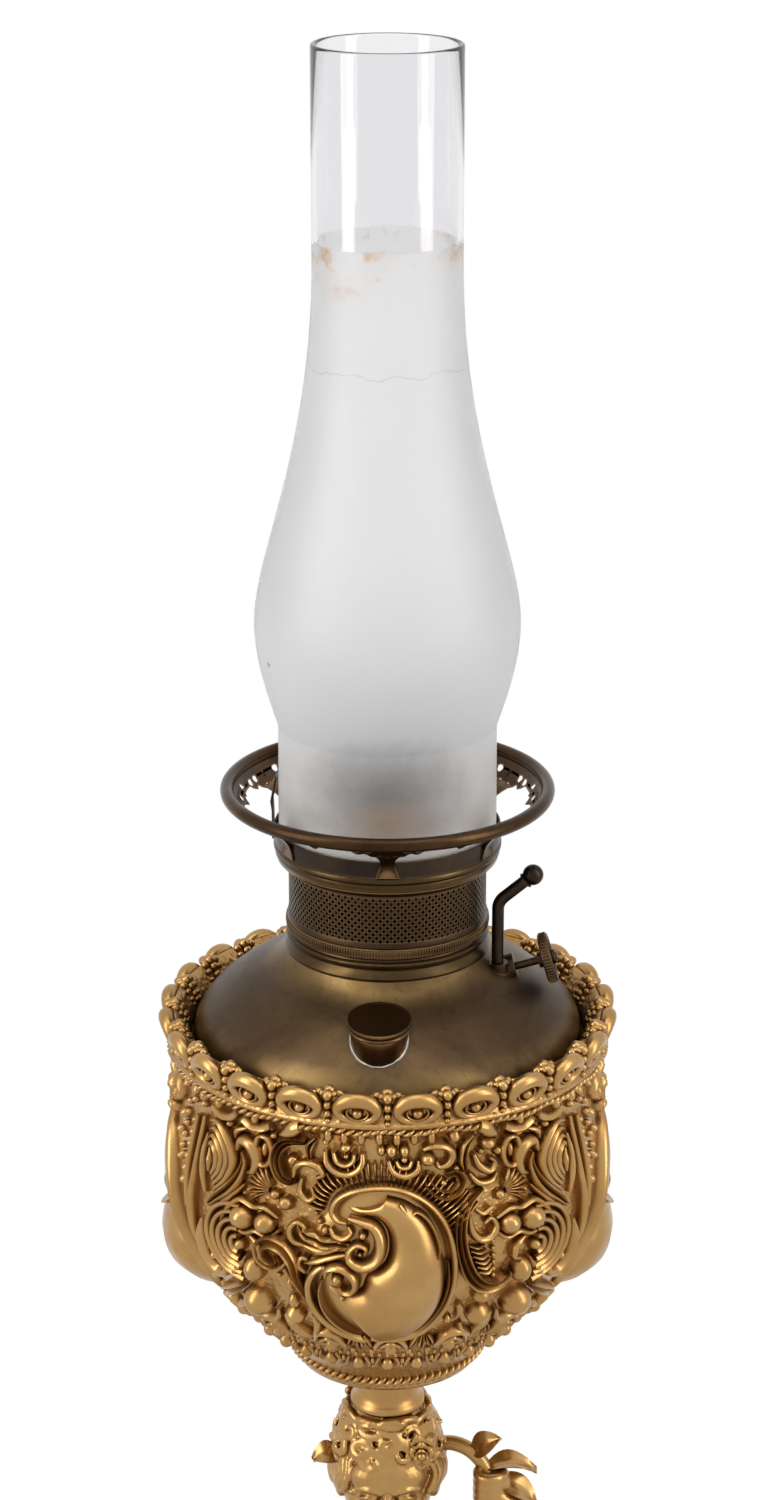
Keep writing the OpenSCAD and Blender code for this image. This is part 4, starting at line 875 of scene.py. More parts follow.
medallion = [
    relief([(-1.5, 344, 5, 0.6), (-1.5, 352, 15, 1.6), (-1.5, 362, 20, 2.0), (-1.5, 374, 21.3, 2.2),
            (-1.5, 386, 19.6, 2.0), (-1.5, 396, 12.5, 1.6), (-1.5, 401, 4, 0.6)]),
    pillow([(-10.3, 394.2, -10.2, 394.9, 0.8), (-8.6, 392.7, -9.2, 396.6, 2.2),
            (-5.6, 391.9, -6.4, 398.0, 3.4), (-2.8, 391.2, -2.0, 398.6, 4.2), (-1.0, 389.4, 3.4, 397.4, 4.8),
            (0.0, 386.8, 7.6, 394.4, 5.4), (0.3, 384.0, 10.8, 390.2, 6.0), (0.1, 381.0, 12.8, 384.6, 6.6),
            (-0.9, 378.0, 14.0, 378.0, 7.2), (-2.9, 375.8, 14.5, 371.0, 7.6),
            (-4.9, 374.2, 14.0, 364.0, 8.0), (-5.8, 371.8, 11.8, 357.4, 8.2), (-6.6, 369.2, 7.6, 351.8, 8.2),
            (-8.6, 367.6, 1.6, 348.8, 8.0), (-11.0, 367.0, -4.6, 348.4, 7.4),
            (-13.0, 367.2, -10.4, 350.6, 6.4), (-14.4, 367.6, -14.2, 355.4, 4.8),
            (-15.2, 367.8, -15.9, 361.0, 3.0), (-15.6, 368.0, -16.2, 366.4, 1.0)], 1.0),
    # frame of the crescent, right and left
    relief([(-10.2, 389.4, 0.9, 3.0), (-12.6, 390.2, 1.2, 3.6), (-13.8, 393.0, 1.35, 4.0),
            (-12.4, 396.8, 1.4, 4.0), (-8.6, 399.6, 1.4, 4.0), (-3.0, 401.0, 1.4, 4.0),
            (2.6, 400.6, 1.4, 4.0), (7.6, 398.0, 1.4, 4.0), (11.6, 393.8, 1.4, 4.0),
            (14.6, 387.6, 1.35, 4.0), (16.3, 380.0, 1.35, 4.0), (16.7, 372.0, 1.35, 4.0),
            (15.8, 363.8, 1.3, 3.8), (13.6, 356.8, 1.3, 3.6), (10.2, 350.8, 1.3, 3.4),
            (5.6, 347.2, 1.2, 3.0), (0.0, 345.6, 1.1, 2.6), (-5.0, 345.4, 0.8, 2.0)], lift=0.4),
    relief([(14.9, 377.0, 0.4, 3.0), (15.2, 371.0, 0.55, 3.4), (14.4, 364.2, 0.55, 3.4),
            (12.2, 357.6, 0.55, 3.2), (8.8, 351.8, 0.55, 3.0), (4.4, 348.6, 0.4, 2.4)], lift=0.6),
    relief([(-13.2, 374.6, 0.8, 2.6), (-16.4, 374.6, 1.2, 3.4), (-18.8, 372.0, 1.4, 4.0),
            (-20.2, 367.4, 1.45, 4.2), (-20.0, 361.4, 1.45, 4.2), (-18.0, 355.4, 1.4, 4.0),
            (-14.6, 350.4, 1.3, 3.6), (-10.4, 346.4, 1.2, 3.0), (-6.8, 343.8, 0.8, 2.0)], lift=0.4),
    relief([(-16.4, 371.0, 0.4, 2.8), (-17.4, 366.6, 0.6, 3.4), (-17.1, 360.6, 0.6, 3.6),
            (-15.2, 355.0, 0.6, 3.4), (-11.8, 350.4, 0.5, 3.0), (-8.0, 347.4, 0.4, 2.2)], lift=0.6),
    # fold and thin lip on the crescent's right shoulder
    relief([(3.0, 396.4, 0.8, 2.6), (4.4, 393.4, 1.3, 3.0), (5.4, 392.2, 0.6, 2.6), (7.0, 394.0, 0.7, 3.2),
            (9.6, 391.6, 0.75, 3.6), (11.6, 386.8, 0.75, 3.8), (12.4, 381.8, 0.7, 3.6),
            (11.4, 377.6, 0.45, 2.6)], lift=2.6),
    # volute in the crescent's bight
    relief([(-9.6, 391.4, 0.9, 2.6), (-6.6, 390.6, 1.5, 3.8), (-3.4, 389.4, 1.9, 4.8),
            (-1.9, 386.4, 2.05, 5.2), (-1.7, 382.4, 2.05, 5.6), (-3.0, 378.8, 2.05, 5.6),
            (-6.0, 377.0, 1.9, 5.4), (-8.8, 378.4, 1.6, 4.8), (-9.2, 381.4, 1.35, 4.4),
            (-7.4, 383.6, 1.2, 4.2), (-5.2, 382.8, 1.0, 4.0), (-5.4, 380.8, 0.8, 3.4)], lift=1.6),
    pearl(-5.9, 386.4, 1.6, 3.8, lift=1.4), pearl(-6.6, 380.6, 1.1, 3.0, lift=1.6),
    relief([(-14.2, 387.8, 0.8, 2.6), (-13.0, 385.6, 1.2, 3.6), (-10.6, 385.2, 1.35, 4.2),
            (-8.9, 387.0, 1.2, 4.0), (-9.6, 389.0, 0.8, 3.2)], lift=1.0),
    pearl(-15.6, 386.4, 1.7, 3.2), pearl(-17.2, 388.8, 1.2, 2.4), pearl(-18.2, 391.2, 1.0, 2.0),
    # leaf, stem and curl left of the bight
    relief([(-9.0, 382.8, 1.0, 3.0), (-12.6, 382.6, 2.2, 3.8), (-16.8, 382.8, 2.6, 4.0),
            (-20.6, 384.4, 2.0, 3.4), (-23.2, 387.4, 0.7, 2.0)], "leaf", 0.6, lobes=3),
    relief([(-12.0, 381.2, 0.8, 2.6), (-16.6, 379.8, 1.5, 3.2), (-21.2, 380.6, 0.6, 1.8)], lift=0.6),
    relief([(-9.6, 379.8, 1.0, 3.0), (-14.0, 378.2, 1.3, 3.4), (-18.0, 376.2, 1.25, 3.2),
            (-21.2, 374.8, 0.6, 1.8)], lift=0.4),
    relief([(-20.4, 380.4, 0.8, 2.0), (-23.8, 381.2, 1.15, 2.8), (-25.0, 384.6, 1.25, 3.0),
            (-23.2, 387.6, 1.15, 3.0), (-21.0, 386.2, 0.9, 2.6), (-21.8, 384.2, 0.7, 2.2)], lift=0.4),
    # hook over the crescent's tail
    relief([(-15.4, 372.4, 0.8, 2.8), (-14.6, 375.0, 1.2, 3.8), (-11.6, 376.0, 1.5, 4.4),
            (-8.8, 374.4, 1.55, 4.8), (-7.7, 371.4, 1.45, 4.8), (-8.8, 368.8, 1.15, 4.4),
            (-10.9, 368.2, 0.9, 3.8), (-12.0, 369.6, 0.7, 3.2)], lift=1.6),
    pearl(-12.3, 372.2, 1.9, 4.2, lift=1.6), pearl(-11.2, 366.4, 1.0, 3.2, lift=2.2),
    # rolled scroll left of the frame, with its stem
    relief([(-19.2, 356.6, 0.7, 1.6), (-21.4, 363.0, 1.15, 2.6), (-23.4, 369.0, 1.5, 3.2),
            (-24.0, 374.6, 2.1, 4.0), (-26.6, 378.8, 2.4, 4.4), (-30.4, 379.6, 2.4, 4.4),
            (-33.4, 377.0, 2.1, 4.0), (-33.6, 373.2, 1.7, 3.6), (-30.9, 371.4, 1.3, 3.2),
            (-28.4, 372.8, 1.1, 3.0), (-29.0, 375.2, 0.8, 2.6)], "rimmed", 0.2),
    relief([(-27.0, 371.2, 0.9, 2.4), (-24.8, 366.4, 0.8, 2.2), (-22.0, 360.4, 0.5, 1.6)]),
    relief([(-21.0, 371.6, 0.7, 1.8), (-22.6, 373.8, 1.1, 2.6), (-21.8, 376.4, 1.0, 2.6),
            (-20.2, 376.2, 0.7, 2.0)], lift=0.6),
    # buds and tulip under it
    pearl(-26.2, 364.6, 1.3, 2.4, 3.0), pearl(-26.2, 358.4, 2.0, 3.0, 2.6),
    pearl(-27.0, 353.0, 3.8, 5.0, 2.9),
    relief([(-31.4, 351.0, 0.7, 1.8), (-30.0, 347.0, 1.6, 3.2), (-26.8, 343.4, 1.5, 3.2),
            (-24.0, 342.2, 0.5, 1.6)]),
    relief([(-21.6, 353.0, 0.7, 1.6), (-21.2, 348.8, 1.6, 3.0), (-22.8, 344.6, 1.5, 3.0),
            (-25.4, 342.2, 0.5, 1.6)]),
    # fluted scroll right of the frame
    relief([(25.0, 397.8, 1.0, 2.0), (20.8, 394.6, 1.8, 3.2), (18.7, 390.0, 2.1, 3.8),
            (18.2, 383.6, 2.2, 4.0), (19.1, 376.8, 2.4, 4.2), (21.4, 370.6, 2.6, 4.2),
            (25.0, 366.4, 2.6, 4.0), (29.4, 365.2, 2.0, 3.4), (32.2, 367.4, 1.3, 2.8),
            (31.4, 369.8, 0.8, 2.2)], "fluted", 0.2),
    relief([(20.8, 390.4, 0.8, 2.4), (21.3, 385.6, 1.35, 3.6), (23.4, 382.4, 1.5, 3.8),
            (26.4, 382.5, 1.45, 3.8), (28.0, 385.2, 1.25, 3.4), (26.8, 388.0, 0.9, 2.8),
            (25.0, 386.8, 0.7, 2.4)], lift=0.4),
    relief([(22.6, 391.8, 0.8, 2.2), (24.8, 389.8, 1.15, 2.8), (27.2, 391.0, 1.0, 2.6)]),
    pearl(25.6, 361.6, 3.3, 4.0, 2.5), pearl(26.4, 353.4, 4.5, 5.2, 3.5), pearl(17.2, 352.8, 1.5, 2.4),
    relief([(19.2, 359.4, 0.7, 1.8), (20.4, 356.0, 1.6, 2.8), (19.8, 352.4, 0.6, 1.6)]),
    relief([(21.4, 350.6, 0.7, 1.8), (23.0, 346.2, 1.5, 2.8), (26.6, 343.0, 1.3, 2.6)]),
    relief([(31.2, 352.4, 0.7, 1.8), (30.6, 347.6, 1.5, 2.8), (28.0, 343.8, 1.2, 2.4)]),
    pearl(-26.6, 392.6, 2.5, 4.2), pearl(-29.2, 367.6, 0.9, 1.4),
]
for k in range(6):
    medallion += [
        relief([(20.6 + 0.6 * k, 380.4 - 1.9 * k, 0.5, 2.0), (22.8 + 0.6 * k, 379.4 - 1.8 * k, 0.65, 3.0),
                (25.2 + 0.5 * k, 379.6 - 1.7 * k, 0.4, 1.6)], steps=3),
        pearl(27.4 + 0.15 * k, 380.2 - 2.4 * k, 0.95, 1.8)]
fringe_root = eased([(-16.2, 392.4), (-14.0, 398.2), (-8.4, 401.8), (-2, 402.6), (4, 401.6), (9.4, 397.8),
                     (13.4, 392.4), (16.2, 386.0)], 10)
fringe_reach = eased([(-4.4, 1.6), (-3.8, 4.0), (-1.8, 5.6), (0, 5.8), (1.6, 5.4), (4.4, 5.6), (6.8, 6.2),
                      (7.4, 7.6)], 10)
for spot in np.linspace(0, len(fringe_root) - 1, 33):
    low = min(int(spot), len(fringe_root) - 2)
    root = fringe_root[low] + (fringe_root[low + 1] - fringe_root[low]) * (spot - low)
    out = fringe_reach[low] + (fringe_reach[low + 1] - fringe_reach[low]) * (spot - low)
    medallion.append(relief([
        (root[0], root[1], 0.4, 1.6), (root[0] + 0.5 * out[0], root[1] + 0.55 * out[1], 0.55, 3.2),
        (root[0] + out[0], root[1] + out[1], 0.55, 1.8)], lift=0.2, steps=3))
on_bowl("bowl_medallion", medallion)

# Upper band of the bowl: drops under the seam over pairs of curled scrolls,
# leaves and beads.
upper_band = [
    pearl(1.0, 412.6, 2.0, 3.6, 2.8), pearl(4.4, 412.4, 1.8, 3.4, 2.6), pearl(-1.6, 412.6, 1.5, 2.8, 2.2),
    relief([(-16.2, 411.4, 1.0, 2.4), (-15.4, 407.4, 1.5, 3.6), (-12.4, 404.9, 1.6, 4.0),
            (-9.0, 405.2, 1.6, 4.0), (-6.6, 408.0, 1.5, 3.6), (-6.4, 411.6, 1.0, 2.4)]),
    relief([(-13.9, 411.6, 0.9, 2.8), (-13.0, 408.9, 1.1, 3.6), (-10.8, 407.9, 1.15, 4.0),
            (-8.8, 409.2, 1.1, 3.6), (-8.5, 411.6, 0.8, 2.8)], lift=0.4),
    pearl(-10.7, 413.8, 2.1, 4.0), pearl(-10.6, 410.6, 1.2, 3.2),
    relief([(0.2, 409.4, 1.0, 2.4), (1.3, 406.2, 1.4, 3.4), (4.4, 404.5, 1.5, 3.8), (7.5, 406.0, 1.4, 3.4),
            (8.1, 409.2, 0.9, 2.4)]),
    relief([(2.2, 409.6, 0.8, 2.6), (3.2, 407.5, 1.05, 3.2), (5.4, 407.5, 1.05, 3.2),
            (6.2, 409.4, 0.8, 2.6)], lift=0.4),
    pearl(4.3, 409.8, 1.4, 3.2),
    pearl(10.3, 409.7, 2.6, 4.8),
    relief([(9.2, 412.8, 1.0, 2.6), (12.0, 414.2, 1.6, 3.6), (15.1, 413.3, 1.7, 3.8),
            (16.8, 410.4, 1.6, 3.6), (15.8, 407.3, 1.4, 3.2), (13.4, 406.6, 1.1, 2.8),
            (12.7, 408.6, 0.8, 2.4)]),
    relief([(9.8, 404.8, 0.8, 2.4), (10.8, 400.8, 1.6, 3.6), (13.6, 398.1, 1.9, 4.2),
            (17.0, 398.3, 1.9, 4.2), (18.9, 401.2, 1.7, 3.8), (17.6, 404.1, 1.3, 3.2),
            (15.3, 403.7, 1.0, 2.6)], "rimmed", 0.2),
    pearl(14.4, 401.4, 1.4, 3.2),
    relief([(20.4, 403.8, 0.8, 2.0), (19.8, 408.2, 1.7, 3.4), (20.6, 412.8, 1.6, 3.4),
            (22.8, 416.2, 0.7, 2.0)], "leaf", 0.4),
    relief([(22.8, 409.0, 0.9, 2.2), (24.2, 405.2, 1.5, 3.4), (27.0, 402.9, 1.5, 3.6),
            (28.8, 405.0, 1.1, 2.8), (27.2, 407.0, 0.8, 2.4)]),
    relief([(21.4, 403.2, 0.8, 2.2), (23.8, 399.8, 1.4, 3.2), (27.4, 399.4, 1.2, 2.8),
            (29.4, 401.4, 0.7, 2.0)]),
    pearl(29.9, 408.4, 1.6, 2.6), pearl(24.9, 409.6, 1.3, 2.6), pearl(26.7, 412.2, 2.7, 4.4),
    pearl(18.0, 405.4, 1.2, 2.4),
    relief([(23.4, 419.6, 1.4, 2.4), (25.6, 418.0, 2.2, 3.6), (28.0, 415.8, 2.0, 3.4),
            (29.6, 413.0, 1.0, 2.2)]),
    relief([(-24.8, 401.2, 0.8, 2.4), (-24.0, 404.9, 1.5, 3.4), (-21.4, 406.8, 1.6, 3.8),
            (-18.3, 406.2, 1.6, 3.8), (-16.7, 403.7, 1.3, 3.2), (-18.3, 402.3, 0.9, 2.6)]),
    relief([(-22.4, 401.4, 0.8, 2.2), (-22.8, 397.2, 1.3, 3.2), (-20.6, 394.9, 1.35, 3.4),
            (-18.7, 396.4, 1.1, 3.0), (-19.8, 398.8, 0.8, 2.4)]),
    relief([(-21.6, 413.4, 1.0, 2.6), (-25.2, 413.4, 1.9, 3.8), (-28.4, 410.5, 2.2, 4.2),
            (-29.5, 405.6, 2.2, 4.2), (-28.0, 400.9, 1.9, 3.8), (-25.2, 399.5, 1.3, 3.0),
            (-24.4, 401.2, 0.8, 2.2)], "fluted", 0.2),
    pearl(-25.2, 406.6, 2.0, 3.4), pearl(-30.9, 413.2, 1.5, 2.6), pearl(-16.0, 414.6, 1.3, 2.4),
    pearl(17.4, 416.6, 1.9, 3.0),
    relief([(-22.2, 419.6, 1.4, 2.4), (-24.5, 418.0, 2.2, 3.6), (-27.0, 415.8, 2.0, 3.4),
            (-28.8, 414.0, 1.0, 2.2)]),
    relief([(-18.4, 416.2, 0.8, 2.2), (-20.2, 412.4, 1.7, 3.4), (-20.4, 408.6, 0.8, 2.2)], "leaf", 0.4),
]
upper_band += [pearl(turn, 416.9, 1.45, 2.8, 2.4) for turn in (-15.2, -11.0, -6.6, -2.1, 2.4, 6.8, 11.2)]
on_bowl("bowl_upper_band", upper_band)

# Side scrolls of the bowl: shells, ringed scrolls, fans of fronds and domed
# buds, alike on both hands of each medallion.
side_scrolls = []
for way in (-1, 1):
    def hand(points, shape="round"):
        return relief([(way * p[0], *p[1:]) for p in points], shape, 0.2)

    def bud(degrees, *sizes):
        return pearl(way * degrees, *sizes)

    # double lobe under a wavy rim
    side_scrolls += [
        bud(32.2, 384.8, 3.7, 5.6, 3.6), bud(39.2, 384.4, 4.4, 6.2, 4.0),
        hand([(47.0, 380.0, 0.8, 2.2), (44.2, 385.4, 1.1, 3.2), (40.0, 389.7, 1.2, 3.6),
              (35.6, 388.8, 1.1, 3.4), (32.4, 389.6, 1.1, 3.4), (28.4, 387.4, 0.7, 2.4)]),
        hand([(28.0, 383.6, 0.7, 2.0), (31.2, 380.6, 1.0, 2.8), (35.0, 381.4, 1.1, 3.0),
              (38.6, 379.6, 1.1, 3.0), (42.8, 380.8, 0.8, 2.2)])]
    # oval eye and hooded leaf under the upper band
    oval = [(way * 33.7 * per_degree + 3.0 * math.cos(a), 407.5 + 4.9 * math.sin(a), 1.15, 3.2)
            for a in np.linspace(0, 2 * math.pi, 24, endpoint=False)]
    side_scrolls += [
        blade(oval, "round", 0.2, loop=True), bud(33.7, 407.5, 1.4, 2.4, 2.8),
        hand([(42.8, 404.4, 0.9, 2.4), (40.8, 408.4, 1.9, 3.8), (37.4, 408.0, 2.3, 4.4),
              (35.6, 404.2, 2.0, 4.0), (36.6, 400.0, 1.5, 3.2), (38.8, 398.4, 0.7, 2.0)]),
        hand([(31.0, 417.8, 1.0, 2.4), (33.6, 415.6, 1.7, 3.4), (37.4, 414.6, 1.7, 3.4),
              (40.4, 416.4, 1.1, 2.6)]),
        hand([(42.0, 418.4, 1.0, 2.2), (44.4, 415.4, 1.8, 3.4), (48.6, 414.0, 1.8, 3.4),
              (52.6, 415.4, 1.1, 2.4)]),
        hand([(39.4, 413.0, 0.8, 2.0), (42.4, 411.2, 1.4, 3.0), (43.6, 408.2, 0.8, 2.0)]),
        bud(45.8, 412.0, 1.5, 2.8), bud(36.0, 418.0, 1.3, 2.4), bud(55.0, 418.2, 1.7, 2.8),
        bud(57.4, 413.6, 1.5, 2.6), bud(60.8, 417.0, 1.6, 2.6), bud(63.0, 412.4, 1.4, 2.4),
        bud(48.6, 418.4, 1.4, 2.4)]
    # shell of close ribs
    for k in range(8):
        lean = math.radians(78 - 15 * k)
        side_scrolls.append(hand([
            (30.8 + 1.0 * math.cos(lean), 395.2 + 1.4 * math.sin(lean), 0.4, 1.6),
            (30.8 + 3.8 * math.cos(lean), 395.2 + 4.4 * math.sin(lean), 0.7, 3.4),
            (30.8 + 7.2 * math.cos(lean - 0.12), 395.2 + 7.6 * math.sin(lean - 0.12), 0.75, 2.0)]))
    side_scrolls.append(bud(29.8, 394.4, 1.9, 3.4))
    # fan of nested fronds with a drop in the middle, and the fronds beside it
    for k in range(4):
        side_scrolls.append(hand([
            (50.4 + 0.6 * k, 388.6 + 1.4 * k, 0.8, 2.0), (45.7 + 1.4 * k, 393.8 + 0.9 * k, 1.35, 3.2),
            (43.5 + 2.0 * k, 400.2, 1.5, 3.8), (45.3 + 1.7 * k, 406.2 - 1.4 * k, 1.45, 3.8),
            (49.7 + 0.9 * k, 410.6 - 2.6 * k, 1.2, 3.2), (54.2 + 0.1 * k, 409.4 - 2.9 * k, 0.6, 1.8)]))
    side_scrolls += [
        hand([(53.6, 393.0, 0.6, 1.8), (52.8, 397.0, 1.3, 3.2), (54.0, 400.4, 0.5, 1.6)]),
        hand([(53.0, 382.4, 0.8, 2.0), (49.0, 386.8, 2.0, 3.4), (44.8, 391.2, 2.3, 4.0),
              (41.7, 396.0, 2.0, 3.8), (40.4, 401.0, 1.2, 2.8), (41.6, 404.0, 0.6, 1.8)], "leaf"),
        hand([(50.6, 382.0, 0.6, 1.8), (46.2, 386.4, 1.1, 2.8), (42.6, 390.4, 1.1, 2.8),
              (39.4, 394.6, 0.6, 1.8)]),
        hand([(55.4, 404.6, 0.6, 1.6), (56.2, 398.4, 1.1, 2.6), (56.0, 391.6, 1.2, 2.6),
              (54.6, 385.6, 0.6, 1.6)])]
    # twin stems that meet over the side boss
    side_scrolls += [
        hand([(57.4, 409.4, 0.6, 1.8), (58.2, 400.0, 0.85, 2.8), (59.2, 390.0, 0.95, 3.2),
              (60.4, 380.0, 1.2, 3.4), (60.0, 370.0, 1.2, 2.8), (57.4, 361.0, 0.6, 1.6)]),
        hand([(61.2, 408.0, 0.6, 1.8), (62.2, 398.0, 0.85, 2.8), (62.6, 388.0, 0.95, 3.2),
              (61.6, 378.0, 1.1, 3.2)])]
    for i in range(6):
        side_scrolls += [bud(66.8 - 0.7 * i, 383.6 + 4.3 * i, 1.65 - 0.08 * i, 2.6 - 0.1 * i),
                         bud(71.4 - 0.8 * i, 389.0 + 4.1 * i, 1.2, 2.0)]
    # ringed scroll, its bud and the volute below it
    for far in (2.7, 5.4, 8.1, 10.8, 13.4):
        side_scrolls.append(hand([
            (40.4 + far * math.cos(a) / per_degree, 375.2 + 0.92 * far * math.sin(a), 1.15, 3.4)
            for a in np.linspace(0.52 * math.pi, -0.5 * math.pi, 8)]))
    side_scrolls += [
        bud(40.0, 375.2, 2.0, 4.0), bud(36.3, 368.0, 3.4, 5.6, 4.3),
        hand([(38.4, 371.6, 0.7, 2.0), (41.6, 366.8, 1.4, 3.2), (45.0, 362.4, 1.3, 3.0),
              (48.0, 358.4, 0.5, 1.6)]),
        hand([(55.0, 377.0, 0.8, 2.2), (56.4, 370.4, 1.6, 3.6), (55.6, 364.0, 1.9, 4.0),
              (52.0, 360.4, 1.9, 4.0), (48.3, 361.6, 1.6, 3.6), (47.0, 365.0, 1.2, 3.2),
              (49.4, 367.0, 0.8, 2.6)]),
        bud(52.0, 365.6, 1.6, 3.2), bud(45.8, 369.4, 1.7, 3.4),
        hand([(36.8, 379.0, 0.7, 2.0), (34.2, 377.0, 1.2, 3.0), (33.6, 373.4, 1.2, 3.0),
              (35.6, 372.2, 0.8, 2.4)])]
    # domed bud in its cup, with bands running out to the side
    side_scrolls += [
        bud(38.6, 354.6, 5.6, 6.8, 4.8),
        hand([(32.6, 353.0, 0.7, 1.8), (34.6, 348.4, 1.4, 3.0), (39.0, 346.6, 1.5, 3.2),
              (43.6, 348.4, 1.4, 3.0), (46.0, 353.6, 0.7, 1.8)]),
        hand([(42.8, 358.4, 0.8, 2.0), (48.4, 354.6, 1.7, 3.4), (55.4, 350.4, 1.8, 3.4),
              (63.0, 345.4, 0.8, 2.0)], "rimmed"),
        hand([(46.4, 349.6, 0.7, 1.8), (51.0, 346.6, 1.5, 3.0), (57.4, 342.4, 0.7, 1.8)]),
        bud(58.4, 354.6, 1.6, 2.8), bud(62.4, 351.6, 1.4, 2.4)]
on_bowl("bowl_side_scrolls", side_scrolls)

# Side bosses of the bowl: a round bulb under a smooth panel, framed by a
# rolled edge with a leaf crest.
side_boss = [relief([
    (90, 334, 4, 1.2), (90, 339, 12, 6.0), (90, 345, 18, 10.0), (90, 351, 20.5, 11.6), (90, 357, 20, 10.6),
    (90, 362, 17.6, 7.4), (90, 366, 15, 4.4), (90, 372, 14.4, 3.4), (90, 380, 12.6, 3.2),
    (90, 387, 9.4, 2.8), (90, 392, 5.4, 2.2), (90, 395, 1, 1.0)], steps=8)]
for way in (-1, 1):
    side_boss += [
        relief([(90 + way * 1, 397.6, 1.0, 2.0), (90 + way * 8, 392.6, 1.5, 3.4),
                (90 + way * 14, 383.4, 1.7, 3.8), (90 + way * 16.6, 372.6, 1.7, 3.8),
                (90 + way * 18.6, 364.0, 1.6, 3.6), (90 + way * 21.6, 355.0, 1.5, 3.4),
                (90 + way * 20.4, 344.6, 1.4, 3.0), (90 + way * 13, 336.4, 0.9, 2.0)]),
        relief([(90 + way * 1.6, 366.6, 0.6, 3.6), (90 + way * 7, 367.8, 1.0, 5.0),
                (90 + way * 12.4, 370.6, 0.6, 3.4)], lift=1.0),
        scroll(((90 + way * 8) * per_degree, 404.6), 90 - way * 30, (10, 9), (way * 330, -way * 300),
               (2.0, 1.0), (3.8, 2.6), "rimmed"),
        scroll(((90 + way * 15) * per_degree, 411.6), 90 + way * 40, (8, 8), (-way * 300, way * 320),
               (1.7, 0.9), (3.4, 2.4)),
        pearl(90 + way * 20.4, 404.4, 1.9, 3.2), pearl(90 + way * 17.4, 397.4, 1.5, 2.6),
        pearl(90 + way * 20.6, 390.6, 1.2, 2.2),
        pearl(90 + way * 5.0, 414.8, 1.8, 3.0), pearl(90 + way * 22.6, 416.2, 1.6, 2.8)]
side_boss += [
    relief([(90, 397, 2.4, 2.4), (90, 402.4, 4.2, 4.0), (90, 409, 3.4, 3.8), (90, 416.6, 0.7, 1.8)], "leaf",
           0.3, lobes=3),
    pearl(90, 396.4, 2.4, 3.6)]
on_bowl("bowl_side_bosses", side_boss)

# Underside of the bowl: hooded pearls between short leaves, a beaded line and a
# row of round bosses over the rope.
underside = []
for turn in np.arange(-80, 100, 20) + 1.0:
    for spread, low, high, wide in ((5.0, 337.6, 346.4, 1.25), (3.3, 338.6, 344.0, 0.8)):
        underside.append(relief([
            (turn - 0.7 * spread, low, 0.6, 1.4), (turn - spread, low + 3.0, wide, 2.8),
            (turn - 0.55 * spread, high - 1.0, wide, 3.2), (turn, high, wide, 3.3),
            (turn + 0.55 * spread, high - 1.0, wide, 3.2), (turn + spread, low + 3.0, wide, 2.8),
            (turn + 0.7 * spread, low, 0.6, 1.4)]))
    underside += [pearl(turn, 339.6, 2.9, 3.6, 2.3), pearl(turn, 335.8, 1.1, 1.6, 0.9)]
    for lean in (-1.3, 0.0, 1.3):
        short_leaf = [(turn + 10 + 1.0 * lean, 345.6, 0.7, 1.4),
                      (turn + 10 + 2.2 * lean, 341.6 + 0.6 * abs(lean), 1.6, 2.8),
                      (turn + 10 + 3.2 * lean, 337.4 + 1.2 * abs(lean), 0.5, 1.2)]
        underside.append(relief(short_leaf, "leaf", 0.2))
    underside += [pearl(turn + 10 + side * 3.4, 336.2, 1.3, 1.7, 1.0) for side in (-1, 1)]
for turn in np.arange(-90, 90, 3.0):
    underside.append(pearl(turn, 333.4, 1.0, 1.2, 0.75))
for turn in np.arange(-90, 90, 12):
    underside += [pearl(turn + 6, 328.4, 3.2, 2.9, 2.0), pearl(turn, 329.6, 1.5, 1.5, 0.9),
                  pearl(turn, 326.8, 1.5, 1.5, 0.9)]
    for side in (-1, 1):
        underside.append(relief([(turn + 6 + side * 3.0, 331.6, 0.5, 0.9),
                                 (turn + 6 + side * 4.6, 328.6, 1.1, 1.8),
                                 (turn + 6 + side * 3.4, 325.4, 0.5, 0.9)], steps=4))
on_bowl("bowl_underside", underside)

# Crown: a gilt rim of oval eyes, each with a hooded lip and a pearl, parted by
# stacked beads, soldered to the bowl's seam.
crown_body = turned([
    (61.4, 420.05), (67.8, 420.05), (68.7, 420.7), (68.9, 421.6), (68.3, 422.4), (67.5, 423.0),
    (67.0, 424.4), (67.0, 428.0), (67.2, 430.2), (66.6, 431.0), (65.6, 430.4), (64.4, 428.0), (62.8, 425.4),
    (61.4, 424.0)], 192)
fixed(solid("crown_band", [crown_body]), gilt_stippled, "stand", ["bowl_crown"], 45)
crown_count, crown_r, eye_z = 24, 67.8, 426.2
crown_face = [(67.0, 418), (67.0, 434)]
eye_middle = 180 / crown_count
lip = []
for a in np.linspace(-0.5 * math.pi, 1.5 * math.pi, 41):
    hood = 0.5 + 0.5 * math.sin(a)
    turn = math.radians(eye_middle) + 5.8 * math.cos(a) / crown_r
    far = 67.4 + 1.7 * hood
    up = eye_z + 3.8 * math.sin(a) + 0.3 * hood
    lip.append((far * math.cos(turn), far * math.sin(turn), up, 1.05 + 1.35 * hood))
inner_lip = [(3.2 * math.cos(a), eye_z - 0.6 + 2.2 * math.sin(a), 0.55, 1.5)
             for a in np.linspace(0, 2 * math.pi, 24, endpoint=False)]
eye_parts = [tube(lip, 14)]
eye_parts += [wrapped(part, crown_face, crown_r, eye_middle) for part in (
    blade(inner_lip, "round", 0.2, loop=True), bead(0, eye_z - 0.6, 1.9, 2.7))]
half_step = math.pi * crown_r / crown_count
